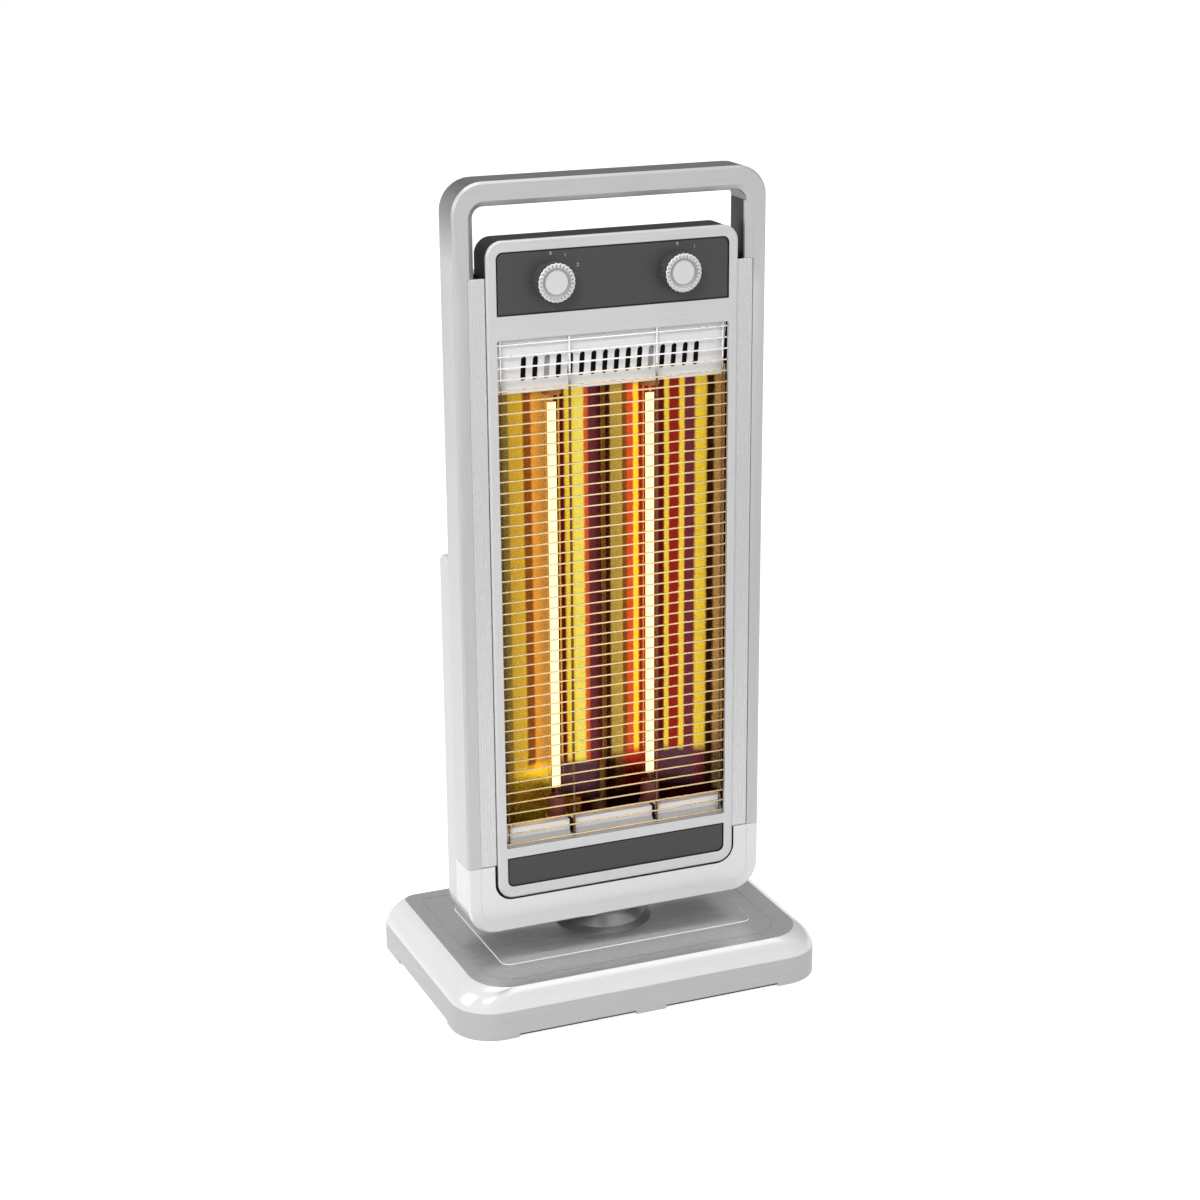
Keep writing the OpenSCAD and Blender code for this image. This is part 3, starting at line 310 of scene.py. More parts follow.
def relief(tree, value, strength, depth):
    """Bumps a surface by a pattern."""
    return add_node(tree, "Bump", {"Height": value, "Strength": strength, "Distance": depth})["Normal"]


def calculate(tree, operation, first, second):
    """Result of a sum on two values."""
    return add_node(tree, "Math", {0: first, 1: second}, operation=operation)["Value"]


def add(tree, first, second, share):
    """First pattern plus a share of the second."""
    return add_node(tree, "Math", {0: second, 1: share, 2: first}, operation="MULTIPLY_ADD")["Value"]


def blend_colours(tree, factor, first, second, blend_type="MIX"):
    """Goes from the first colour to the second by a factor."""
    sockets = {"Factor": factor, "A": first, "B": second}
    return add_node(tree, "Mix", sockets, data_type="RGBA", blend_type=blend_type)["Result"]


def linear(colour):
    """Linear colour of an eight-bit one, on the curve that screens use."""
    parts = [part / EIGHT_BIT for part in colour]
    return [((part + CURVE_LIFT) / (1 + CURVE_LIFT)) ** CURVE_POWER for part in parts] + [1.0]


def bands(tree, value, rows):
    """Upright bands of colour along X."""
    reach = BAND_REACH / MM
    ramp = tree.nodes.new("ShaderNodeValToRGB")
    stops = ramp.color_ramp.elements
    places = [(edge, colour) for low, high, colour in rows for edge in (low, high)]
    for index, (edge, colour) in enumerate(places):
        share = (edge + reach) / (2 * reach)
        if index < 2:
            stops[index].position = share
        else:
            stops.new(share)
        stops[index].color = linear(colour)
    feed(tree, ramp, {"Fac": value})
    return ramp.outputs["Color"]


# Finishes

BRUSH_GRAIN = 1300.0
BRUSH_STRETCH = 0.02


def streaks_along(tree, axis):
    """Fine streaks along one axis."""
    return noise(tree, BRUSH_GRAIN, [BRUSH_STRETCH if letter == axis else 1.0 for letter in "xyz"])


def streaked(tree, colour, streaks, smoothest, roughest, metal, contrast):
    """Painted silver with fine streaks."""
    return {
        "Base Color": tint(tree, streaks, colour, dark=1.0 - contrast, light=1.0 + contrast),
        "Roughness": spread(tree, streaks, low=smoothest, high=roughest),
        "Normal": relief(tree, streaks, strength=0.015, depth=0.0001),
        "Metallic": metal, "Coat Weight": 0.15, "Coat Roughness": 0.12}


def brushed(tree, colour, axis, rough, metal, contrast=0.06):
    """Painted silver, brushed along one axis."""
    return streaked(tree, colour, streaks_along(tree, axis), smoothest=rough - 0.02,
                    roughest=rough + 0.03, metal=metal, contrast=contrast)


def brushed_loop(tree, colour):
    """Painted silver, brushed along the loop's columns and across its handle."""
    turn = step(tree, place_along(tree, "Z"), COLUMN_END, HANDLE_START)
    sockets = {"Factor": turn, "A": streaks_along(tree, "z"), "B": streaks_along(tree, "x")}
    streaks = add_node(tree, "Mix", sockets)["Result"]
    return streaked(tree, colour, streaks, smoothest=0.29, roughest=0.35, metal=0.6, contrast=0.04)


def glossy_paint(tree, colour, rough=0.16, metal=0.25, coat=0.6):
    """Bright glossy paint with a faint pearl flake and orange peel."""
    flake = noise(tree, scale=1800.0, detail=2.0)
    return {
        "Base Color": tint(tree, flake, colour, dark=0.97, light=1.03),
        "Roughness": spread(tree, flake, low=rough - 0.03, high=rough + 0.05),
        "Normal": relief(tree, noise(tree, scale=240.0, detail=1.0), strength=0.05, depth=0.0002),
        "Metallic": metal, "Coat Weight": coat, "Coat Roughness": 0.06}


def moulded(tree, colour, rough=0.5, grain=900.0, depth=0.0001):
    """Moulded plastic or rubber with a fine spark-eroded grain."""
    speck = noise(tree, grain, detail=5.0)
    return {
        "Base Color": tint(tree, speck, colour, dark=0.86, light=1.14),
        "Roughness": spread(tree, speck, low=rough - 0.08, high=rough + 0.1),
        "Normal": relief(tree, speck, strength=0.35, depth=depth)}


def sheet_metal(tree, colour, rough=0.35, spangle=90.0):
    """Rolled or galvanised sheet with a cloudy spangle."""
    drawn = noise(tree, scale=300.0, stretch=(1.0, 1.0, 0.1))
    return {
        "Base Color": tint(tree, cells(tree, spangle), colour, dark=0.82, light=1.1, start=0.1, end=0.8),
        "Roughness": spread(tree, drawn, low=rough - 0.08, high=rough + 0.1),
        "Normal": relief(tree, noise(tree, scale=600.0), strength=0.1, depth=0.0001),
        "Metallic": 1.0}


def slot_shade(tree):
    """Dark plate behind the slots, which stands in for the shade inside them, with two pale bands of painted
    light where something lit shows through.
    """
    share = step(tree, place_along(tree, "X"), -BAND_REACH, BAND_REACH)
    plate_speck = noise(tree, scale=700.0, detail=4.0)
    return {
        "Base Color": bands(tree, share, SLOT_BANDS),
        "Roughness": spread(tree, plate_speck, low=0.6, high=0.9),
        "Normal": relief(tree, plate_speck, strength=0.2, depth=0.0001),
        "Specular IOR Level": 0.15}


def gold_mirror(tree):
    """Gold-coated reflector with dimples and level ripples, its colour banded upright with painted
    reflections of its glowing lamps.
    """
    ripple = noise(tree, scale=110.0, stretch=(0.3, 0.3, 1.8))
    dimple = cells(tree, scale=420.0, stretch=(0.5, 1.0, 1.0))
    wavy = add(tree, place_along(tree, "X"), ripple, RIPPLE_ACROSS)
    share = step(tree, wavy, RIPPLE_ACROSS / 2 - BAND_REACH, RIPPLE_ACROSS / 2 + BAND_REACH)
    # The upright bands are painted reflections of the glowing lamps and their surroundings
    glow = blend_colours(tree, step(tree, wavy, 0.0, RIDGE_LINE), bands(tree, share, LEFT_REFLECTION_BANDS),
                         bands(tree, share, RIGHT_REFLECTION_BANDS))
    height = add(tree, place_along(tree, "Z"), ripple, RIPPLE_UP)
    # Lower down: bands of painted reflection at the reflector's foot, and below them a band of painted
    # orange glow
    for line, rows in ((FOOT_LINE, FOOT_REFLECTION_BANDS), (LOW_GLOW_REFLECTION_LINE, LOW_GLOW_REFLECTION_BANDS)):
        above = step(tree, height, line[0] + RIPPLE_UP / 2, line[1] + RIPPLE_UP / 2)
        glow = blend_colours(tree, above, bands(tree, share, rows), glow)
    shade = tint(tree, add(tree, ripple, dimple, share=0.3), EVEN, dark=0.80, light=1.0, end=0.6)
    return {
        "Base Color": blend_colours(tree, 1.0, glow, shade, "MULTIPLY"),
        "Roughness": spread(tree, dimple, low=0.22, high=0.34, start=0.0, end=0.8),
        "Normal": relief(tree, add(tree, ripple, dimple, share=0.5), strength=0.2, depth=0.0004),
        "Metallic": 0.9}


def tinted_by_height(tree, start, end, low_colour, high_colour, pattern):
    """One colour below a height and another above it, each with the pattern's variation."""
    return blend_colours(tree, step(tree, place_along(tree, "Z"), start, end),
                         tint(tree, pattern, low_colour, dark=0.92, light=1.08),
                         tint(tree, pattern, high_colour, dark=0.92, light=1.08))


def handle_shade(tree, silver, dark):
    """Silver of the loop's sides, made lighter as painted light, going over its shoulders as painted shade
    into the dark grey of the grip on top.
    """
    lit_side_silver = [min(1.0, part * SIDE_PAINTED_LIGHT) for part in silver]
    streaks = noise(tree, scale=900.0, stretch=(BRUSH_STRETCH, 1.0, 1.0))
    return {
        "Base Color": tinted_by_height(tree, SHADE_START, SHADE_END, lit_side_silver, dark, streaks),
        "Roughness": spread(tree, streaks, low=0.32, high=0.44),
        "Normal": relief(tree, streaks, strength=0.02, depth=0.0001),
        "Metallic": 0.5}


def guard_chrome(tree, lamp_painted_colour, plain):
    """Chromed wire whose colour low down is painted: the lamps' glow as painted light on the wires, and
    painted shade on the uprights against it.
    """
    cloud = noise(tree, scale=260.0)
    return {
        "Base Color": tinted_by_height(tree, PAINTED_GLOW_END, PLAIN_START, lamp_painted_colour, plain, cloud),
        "Roughness": spread(tree, cloud, low=0.2, high=0.34),
        "Metallic": 0.85}


def lamp_ceramic(tree):
    """Fired ceramic, dark brown at the foot, with a painted amber glow at the head of the lamps."""
    speck = noise(tree, scale=350.0, detail=5.0)
    return {
        "Base Color": tinted_by_height(tree, BROWN_END, PAINTED_GLOW_START, CERAMIC_FOOT, CERAMIC_PAINTED_GLOW, speck),
        "Roughness": spread(tree, speck, low=0.4, high=0.62),
        "Normal": relief(tree, speck, strength=0.3, depth=0.0002)}


def quartz_glass(tree):
    """Clear quartz with a faint haze in its wall."""
    haze = noise(tree, scale=90.0, stretch=(1.0, 1.0, 0.15))
    return {
        "Base Color": QUARTZ,
        "Roughness": spread(tree, haze, low=0.0, high=0.05),
        "Normal": relief(tree, haze, strength=0.03, depth=0.0002),
        "Transmission Weight": 1.0, "IOR": 1.12}


def carbon_glow(tree, colour, strength):
    """Glowing carbon with a fine weave."""
    weave = noise(tree, scale=700.0, stretch=(1.0, 1.0, 0.6), detail=2.0)
    return {
        "Emission Color": tint(tree, weave, colour, dark=0.85, light=1.15),
        "Base Color": tint(tree, weave, CARBON, dark=0.8, light=1.2),
        "Roughness": spread(tree, weave, low=0.5, high=0.7),
        "Emission Strength": strength}


def new_finish(name, kind, *values):
    """A new material, whose shader gets what one kind of finish gives."""
    material = bpy.data.materials.new(name)
    material.use_nodes = True
    tree = material.node_tree
    feed(tree, tree.nodes["Principled BSDF"], kind(tree, *values))
    return material


def finishes(colours):
    """Makes every finish of the heater once, from the name and the values of each."""
    kinds = {
        # Colour, axis of the streaks, roughness, metal and contrast
        brushed: {
            "strip_silver": ("strip silver", (0.66, 0.66, 0.67), "z", 0.26, 0.6, 0.02),
            "bezel_silver": ("bezel silver", colours.bezel_silver, "x", 0.34, 0.45, 0.035),
            "base_silver": ("deck silver", colours.deck_silver, "x", 0.28, 0.75, 0.02),
            "skirt_silver": ("skirt silver", colours.skirt_silver, "x", 0.34, 0.4, 0.05),
            "housing_silver": ("housing silver", (0.72, 0.72, 0.73), "z", 0.36, 0.3, 0.03),
            "turntable_grey": ("turntable grey", (0.20, 0.20, 0.205), "x", 0.3, 0.7, 0.02),
            "ledge_grey": ("sill white", (0.84, 0.84, 0.85), "x", 0.34, 0.1),
            "sill_grey": ("sill grey", (0.36, 0.36, 0.365), "x", 0.4, 0.4, 0.03),
        },
        # Colour, roughness, metal and coat
        glossy_paint: {
            "shoulder_pearl": ("shoulder pearl", colours.pearl),
            "cover_silver": ("cover pearl", colours.pearl),
            "knob_side": ("knob side", (0.14, 0.14, 0.145), 0.3, 0.5, 0.2),
            "knob_silver": ("knob silver", (0.72, 0.72, 0.73), 0.24, 0.5, 0.3),
            "knob_cap_silver": ("knob disc silver", (0.72, 0.72, 0.73), 0.3, 0.3, 0.2),
            "knob_groove": ("knob groove", (0.34, 0.34, 0.345), 0.3, 0.6, 0.1),
            "vent_white": ("vent enamel", colours.enamel, 0.3, 0.0, 0.2),
            "pad_edge_painted_highlight": ("pad edge", (0.95, 0.95, 0.95), 0.2, 0.1, 0.3),
            "pip_amber": ("amber quartz", (0.95, 0.62, 0.08), 0.2, 0.0, 0.4),
        },
        # Colour, roughness, scale of the grain and its depth
        moulded: {
            "fascia_grey": ("fascia grey", colours.graphite, 0.42, 700.0, 0.00005),
            "box_graphite": ("housing graphite", (0.012, 0.012, 0.013), 0.72, 800.0),
            # Dark plastic, also given as painted shade to gaps, pockets, notches and the rim behind the feet
            "dark_plastic": ("dark plastic", (0.022, 0.022, 0.024), 0.45),
            "rubber": ("rubber", (0.016, 0.016, 0.016), 0.75, 500.0, 0.0002),
            "slide_plastic": ("slide plastic", (0.70, 0.69, 0.64), 0.35),
            "switch_plastic": ("switch plastic", (0.62, 0.60, 0.54), 0.4),
            "groove_painted_shade": ("deck groove", (0.30, 0.30, 0.305), 0.4, 900.0, 0.00002),
            "print_grey": ("scale print", (0.62, 0.62, 0.62), 0.5, 1500.0),
        },
        # Colour, roughness and scale of the spangle
        sheet_metal: {
            "ballast_steel": ("ballast steel", (0.28, 0.28, 0.30), 0.5, 40.0),
            "screw_steel": ("screw steel", (0.62, 0.62, 0.60), 0.28, 300.0),
            "screw_black": ("screw black", (0.05, 0.05, 0.05), 0.38, 300.0),
            "zinc_sheet": ("zinc sheet", (0.60, 0.61, 0.63), 0.38, 70.0),
            "chassis_sheet": ("chassis sheet", (0.045, 0.042, 0.04), 0.45, 60.0),
        },
        # Colour low down, with painted glow light on the wires and painted shade on the uprights, and plain
        # colour above
        guard_chrome: {
            "guard_chrome": ("guard chrome", (0.74, 0.57, 0.31), (0.88, 0.88, 0.88)),
            "upright_chrome": ("upright chrome", (0.16, 0.09, 0.05), (0.80, 0.80, 0.80)),
        },
        brushed_loop: {"frame_silver": ("loop silver", colours.loop_silver)},
        handle_shade: {"handle_shade": ("handle shade", colours.loop_silver, colours.grip_grey)},
        gold_mirror: {"reflector_gold": ("reflector gold",)},
        slot_shade: {"slot_shade": ("slot shade",)},
        lamp_ceramic: {"ceramic": ("lamp ceramic",)},
        quartz_glass: {"quartz": ("quartz glass",)},
        carbon_glow: {"carbon_glow": ("carbon glow", colours.glow, colours.glow_strength)},
    }
    return {key: new_finish(name, kind, *values)
            for kind, rows in kinds.items() for key, (name, *values) in rows.items()}


# Modelling helpers

NEAR = 1e-5
FLAT = 0.9
QUARTER_TURN = math.pi / 2
SHARP = math.radians(25)
SMOOTH_UP_TO = math.radians(35)
WELD = 2e-6
SAME_PLANE = math.radians(0.6)
FACING = 0.5
SEAM = 0.0002
FINE_ROUND = 0.0002
TRIM_ROUND = 0.0003
MADE = {}


def clear_selection():
    """Deselects everything, so that a new primitive is alone."""
    for other in bpy.context.scene.objects:
        other.select_set(False)
    bpy.context.view_layer.objects.active = None


def only(piece):
    """Makes one object the selected and active one."""
    clear_selection()
    piece.select_set(True)
    bpy.context.view_layer.objects.active = piece


@contextlib.contextmanager
def editing(piece):
    """Edit mode on one object."""
    only(piece)
    bpy.ops.object.mode_set(mode="EDIT")
    yield
    bpy.ops.object.mode_set(mode="OBJECT")


def settle(name):
    """Names the active object, and writes its place, turn and size into its mesh."""
    piece = bpy.context.object
    piece.name = name
    piece.data.name = name
    only(piece)
    bpy.ops.object.transform_apply(location=True, rotation=True, scale=True)
    return piece


def pick(kind, test):
    """In edit mode, selects the vertices, edges or faces that pass a test."""
    bpy.ops.mesh.select_mode(type=kind)
    bpy.ops.mesh.select_all(action="DESELECT")
    shape = bmesh.from_edit_mesh(bpy.context.object.data)
    for item in {"VERT": shape.verts, "EDGE": shape.edges, "FACE": shape.faces}[kind]:
        if test(item):
            item.select = True
    shape.select_flush_mode()
    bmesh.update_edit_mesh(bpy.context.object.data)


def middle(edge):
    return (edge.verts[0].co + edge.verts[1].co) / 2


def box(name, low, high):
    """A block between two corners."""
    clear_selection()
    low = Vector(low)
    high = Vector(high)
    bpy.ops.mesh.primitive_cube_add(size=1.0, location=(low + high) / 2, scale=high - low)
    return settle(name)


def bar(name, sides, radius, depth, place, turn=(0.0, 0.0, 0.0)):
    """A round bar about a place, upright unless it is turned."""
    clear_selection()
    bpy.ops.mesh.primitive_cylinder_add(vertices=sides, radius=radius, depth=depth, location=place,
                                        rotation=turn)
    return settle(name)


def add_modifier(piece, kind, **values):
    """Adds a modifier, sets it and applies it."""
    only(piece)
    made = piece.modifiers.new(kind.title(), kind)
    for key, value in values.items():
        setattr(made, key, value)
    bpy.ops.object.modifier_apply(modifier=made.name)


def thicken(piece, wall):
    """Gives a surface a wall on its inner side."""
    add_modifier(piece, "SOLIDIFY", thickness=wall, offset=-1.0, use_even_offset=True)


def cut(cutter, *pieces):
    """Takes a cutter's shape out of pieces, and removes the cutter."""
    for piece in pieces:
        add_modifier(piece, "BOOLEAN", object=cutter, operation="DIFFERENCE", solver="EXACT")
    bpy.data.objects.remove(cutter)


def join(pieces):
    """Joins pieces into the first of them."""
    only(pieces[0])
    for extra in pieces:
        extra.select_set(True)
    bpy.ops.object.join()


def smooth(piece, angle=SMOOTH_UP_TO):
    only(piece)
    bpy.ops.object.shade_smooth_by_angle(angle=angle)


def dress(piece, finish, replaced=(), body="heater_body"):
    """Gives a piece its finish, its body and the nodes that it stands for."""
    piece.data.materials.clear()
    piece.data.materials.append(MADE[finish])
    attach(piece, body)
    if replaced:
        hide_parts(*replaced)
    return piece


def rounded_copy(node, name, width, angle=SHARP):
    """A copy of a CAD node's shell, merged, with its sharp edges rounded."""
    piece = bpy.data.objects.new(name, frame["nodes"][node].data.copy())
    piece.data.name = name
    bpy.context.scene.collection.objects.link(piece)
    with editing(piece):
        bpy.ops.mesh.select_all(action="SELECT")
        bpy.ops.mesh.remove_doubles(threshold=WELD)
        bpy.ops.mesh.dissolve_limited(angle_limit=SAME_PLANE)
    add_modifier(piece, "BEVEL", width=width, segments=3, limit_method="ANGLE", angle_limit=angle,
                 use_clamp_overlap=True, miter_outer="MITER_ARC")
    smooth(piece)
    add_modifier(piece, "WEIGHTED_NORMAL", keep_sharp=True, weight=80)
    return piece


def dressed_copy(node, name, width, finish, body="heater_body"):
    """A rounded copy that stands for its CAD node."""
    return dress(rounded_copy(node, name, width), finish, [node], body)


def paint_faces(piece, finish, test):
    """Gives the faces that pass a test another finish."""
    piece.data.materials.append(MADE[finish])
    index = len(piece.data.materials) - 1
    for face in piece.data.polygons:
        if test(face):
            face.material_index = index


# Pieces of the base

SKIRT_FOOT = 0.0008
SKIRT_HEAD = 0.0280
DECK = 0.0497
DECK_EDGE = 0.001
RIDGE_START = 0.0001
PAD_SINK = 0.0008
PAD_TOP = 0.0505
PAD_ROUND = 0.009
PAD_EDGE = 0.0007
PAD_HALF_X = 0.1275
PAD_HALF_Y = 0.0725
DECK_SIDE = 0.0195
DECK_END = 0.0055
FRONT_ROUND = 0.040
REAR_ROUND = 0.014
CORNER_STEPS = 14
SHOULDER_STEPS = ((0.16, 0.06), (0.32, 0.15), (0.47, 0.25), (0.6, 0.36), (0.72, 0.50), (0.83, 0.65),
                  (0.92, 0.82), (1.0, 1.0))
SHOULDER_SLOPE = (0.04, 0.93)
OUTLINE_LOW = (-0.1495, -0.1020, 0.0490)
OUTLINE_HIGH = (0.1445, 0.1020, 0.04985)
OUTLINE_FRONT_ROUND = 0.028
OUTLINE_REAR_ROUND = 0.007
OUTLINE_WIDTH = 0.0009
SHELL_WALL = 0.0022
SHELL_ROUND = 0.0005
SHELL_SHARP = math.radians(30)
FOOT_GAP = 0.0036
MIDDLE_FOOT = 0.030
CORNER_FOOT = 0.052
CUT_OVERRUN = 0.0005
RIM_IN = 0.0034
RIM_FOOT = 0.0012
RIM_HEAD = 0.0042
RIM_WALL = 0.0012
DISC_HIDE = 0.0465
DISC_HOLE_DEPTH = 0.02
HOLE_SIDES = 96
DISC_LIP = 0.0025
DISC_RIM = 0.0462
DISC_DROP = 0.0024
PAD_FOOT_ROUND = 0.0006
GLAND_ROUND = 0.0005


def corner_block(name, low, high, front_round, rear_round):
    """A block whose upright edges are rounded."""
    block = box(name, low, high)
    with editing(block):
        for side, radius in ((-1, front_round), (1, rear_round)):
            pick("EDGE", lambda e: middle(e).y * side > 0 and is_block_corner(e, low, high))
            bpy.ops.mesh.bevel(offset=radius, segments=CORNER_STEPS)
    return block


def is_block_corner(edge, low, high):
    """True for an upright edge that still stands at a corner of the block."""
    place = middle(edge)
    return (abs(edge.verts[0].co.z - edge.verts[1].co.z) > NEAR and
            min(abs(place.x - low[0]), abs(place.x - high[0])) < NEAR and
            min(abs(place.y - low[1]), abs(place.y - high[1])) < NEAR)


def open_ring(name, low, high, front_round, rear_round, wall):
    """A thin upright wall round a rectangle with rounded corners."""
    ring = corner_block(name, low, high, front_round, rear_round)
    with editing(ring):
        pick("FACE", lambda f: abs(f.normal.z) > FLAT)
        bpy.ops.mesh.delete(type="FACE")
    thicken(ring, wall)
    smooth(ring)
    return ring


def make_base():
    shell = base_shell()
    dress(shell, "skirt_silver", ["base_cover"], "base")
    low_slope, high_slope = SHOULDER_SLOPE
    # Skirt, shoulder and deck are one silver plastic: by which way each face looks, the shoulder gets bright
    # pearl as painted light and the deck a darker silver as painted shade, over its real brushing
    paint_faces(shell, "shoulder_pearl",
                lambda f: f.center.z > SKIRT_HEAD + SEAM and low_slope < f.normal.z < high_slope)
    paint_faces(shell, "base_silver", lambda f: f.center.z > DECK - DECK_EDGE and f.normal.z > high_slope)
    # The raised pad's edge gets a painted highlight
    paint_faces(shell, "pad_edge_painted_highlight", lambda f: f.center.z > DECK + RIDGE_START and f.normal.z < high_slope)
    # A thin grey ring on the deck is the painted shade of a shallow groove
    outline = open_ring("deck_outline", OUTLINE_LOW, OUTLINE_HIGH, OUTLINE_FRONT_ROUND, OUTLINE_REAR_ROUND,
                        OUTLINE_WIDTH)
    dress(outline, "groove_painted_shade", (), "base")
    # A dark rim behind the gaps between the feet stands in for the shade under the skirt
    rim = open_ring("base_shadow_rim", (BASE[0].x + RIM_IN, BASE[0].y + RIM_IN, RIM_FOOT),
                    (BASE[1].x - RIM_IN, BASE[1].y - RIM_IN, RIM_HEAD), FRONT_ROUND - RIM_IN,
                    REAR_ROUND - RIM_IN, RIM_WALL)
    dress(rim, "dark_plastic", body="base")
    disc = rounded_copy("turntable", "turntable_disc", TRIM_ROUND)
    with editing(disc):
        pick("VERT", lambda v: v.co.z > PAD_TOP + DISC_LIP and math.hypot(v.co.x, v.co.y) > DISC_RIM)
        bpy.ops.transform.translate(value=(0.0, 0.0, -DISC_DROP))
    dress(disc, "turntable_grey", ["turntable"])
    dressed_copy("rubber_feet", "rubber_pads", PAD_FOOT_ROUND, "rubber", body="base")
    dressed_copy("cord_gland", "cord_inlet", GLAND_ROUND, "dark_plastic", body="base")


def base_shell():
    """Skirt, convex shoulder and deck, with the raised pad under the body."""
    low, high = BASE
    shell = corner_block("base_shell", (low.x, low.y, SKIRT_FOOT), (high.x, high.y, SKIRT_HEAD),
                         FRONT_ROUND, REAR_ROUND)
    with editing(shell):
        pick("FACE", lambda f: f.normal.z > FLAT)
        last_rise, last_in = 0.0, 0.0
        for rise, inward in SHOULDER_STEPS:
            bpy.ops.mesh.extrude_region_move(
                TRANSFORM_OT_translate={"value": (0.0, 0.0, (rise - last_rise) * (DECK - SKIRT_HEAD))})
            bpy.ops.transform.resize(
                value=((high.x - DECK_SIDE * inward) / (high.x - DECK_SIDE * last_in),
                       (high.y - DECK_END * inward) / (high.y - DECK_END * last_in), 1.0),
                center_override=(0.0, 0.0, DECK))
            last_rise, last_in = rise, inward
        pick("FACE", lambda f: f.normal.z < -FLAT)
        bpy.ops.mesh.delete(type="FACE")
    thicken(shell, SHELL_WALL)
    add_modifier(shell, "BEVEL", width=SHELL_ROUND, segments=3, limit_method="ANGLE",
                 angle_limit=SHELL_SHARP)
    pad = corner_block("pad", (-PAD_HALF_X, -PAD_HALF_Y, DECK - PAD_SINK), (PAD_HALF_X, PAD_HALF_Y, PAD_TOP),
                       PAD_ROUND, PAD_ROUND)
    with editing(pad):
        pick("EDGE", lambda e: all(v.co.z > PAD_TOP - NEAR for v in e.verts))
        bpy.ops.mesh.bevel(offset=PAD_EDGE, segments=2)
    cut(bar("disc_hole", HOLE_SIDES, DISC_HIDE, DISC_HOLE_DEPTH, (0.0, 0.0, DECK)), shell, pad)
    for gap_low, gap_high in foot_gaps(low, high):
        cut(box("foot_gap", gap_low, gap_high), shell)
    join([shell, pad])
    smooth(shell, SHARP)
    return shell


def foot_gaps(low, high):
    """Boxes that open the gaps between the feet along the four sides of the skirt."""
    foot = SKIRT_FOOT - 2 * CUT_OVERRUN
    head = SKIRT_FOOT + FOOT_GAP
    for near, far in (through_wall(low.y), through_wall(high.y)):
        for start, end in ((low.x + CORNER_FOOT, -MIDDLE_FOOT / 2), (MIDDLE_FOOT / 2, high.x - CORNER_FOOT)):
            yield (start, near, foot), (end, far, head)
    for near, far in (through_wall(low.x), through_wall(high.x)):
        yield (near, low.y + CORNER_FOOT, foot), (far, high.y - CORNER_FOOT, head)


def through_wall(side):
    """Start and end of a cut through the skirt's wall at one side."""
    deep = SHELL_WALL + 2 * CUT_OVERRUN
    near = min(side, side - math.copysign(deep, side)) - CUT_OVERRUN
    return near, near + deep + 2 * CUT_OVERRUN


# Pieces of the body

OPENING_HALF = 0.1315
SIDE_MIDDLE = 0.30
STRIP_HEAD = 0.6600
WALL_BACK = -0.0322
WALL_CUTS = (((0.0, 0.0, STRIP_HEAD), (0.0, 0.0, 1.0)), ((0.0, WALL_BACK, 0.0), (0.0, 1.0, 0.0)))
LOOP_MIDDLE = 0.40
SIDEWAYS = 0.4
INWARD = 0.01
HANDLE_LOW = 0.7350
GAP_HALF = 0.1265
GAP_FOOT = 0.0965
GAP_HEAD = 0.14
STRIP_ROUND = 0.0006


def make_body(sizes):
    loop = rounded_copy("front_frame", "handle_loop", sizes.edge_round)
    with editing(loop):
        for place, way in WALL_CUTS:
            bpy.ops.mesh.select_all(action="SELECT")
            bpy.ops.mesh.bisect(plane_co=place, plane_no=way)
    dress(loop, "frame_silver", ["front_frame"])
    # The loop's outer sides get painted light, and painted shade over the shoulders into the grip, which has
    # the same finish
    paint_faces(loop, "handle_shade",
                lambda f: f.center.z > SIDE_MIDDLE and abs(f.normal.y) < SIDEWAYS and outward(f))
    # The walls of the handle's opening are painted dark, and the loop's face behind the gap under the bezel
    # gets painted shade
    paint_faces(loop, "dark_plastic", lambda f: inner_wall(f) or behind_gap(f))
    dressed_copy("handle_grip", "carry_grip", sizes.edge_round, "handle_shade")
    lower = dressed_copy("lower_cover", "lower_shell", sizes.edge_round, "cover_silver")
    # Faces in the gap between the bezel and the lower cover get painted shade
    paint_faces(lower, "dark_plastic", lambda f: abs(f.normal.y) < FACING and in_gap(f))
    for side in ("left", "right"):
        dressed_copy("side_strip_" + side, "column_strip_" + side, STRIP_ROUND, "strip_silver")


def outward(face):
    """True for a face of the loop that looks away from its middle."""
    return face.normal.x * face.center.x + face.normal.z * (face.center.z - LOOP_MIDDLE) > 0


def inner_wall(face):
    """True for the walls of the handle's opening beside and above the panel."""
    return (abs(face.center.x) < OPENING_HALF and STRIP_HEAD < face.center.z < HANDLE_LOW and
            face.center.y > WALL_BACK and face.normal.x * face.center.x < -INWARD)


def in_gap(face):
    """True inside the gap between the bezel and the lower cover."""
    return abs(face.center.x) < GAP_HALF and GAP_FOOT < face.center.z


def behind_gap(face):
    """True for the loop's own face behind that gap."""
    return in_gap(face) and face.center.z < GAP_HEAD and face.normal.y < -FACING


# Pieces of the panel

PLATES = {"control_fascia": "control_panel", "badge_plate": "bare_badge"}
PLATE_EDGE = 0.0012
POCKET_HALF = 0.1122
POCKET_DEEP = 0.0004
POCKET_EDGE = 0.0015
MARK_HEIGHT = 0.0042
MARK_DEPTH = 0.0001
POWER_MARKS = (("0", 0.0, 0.0235), ("1", 33.0, 0.0250), ("2", 65.0, 0.0280))
SWING_MARKS = (("0", 0.0, 0.0235), ("1", 40.0, 0.0260))


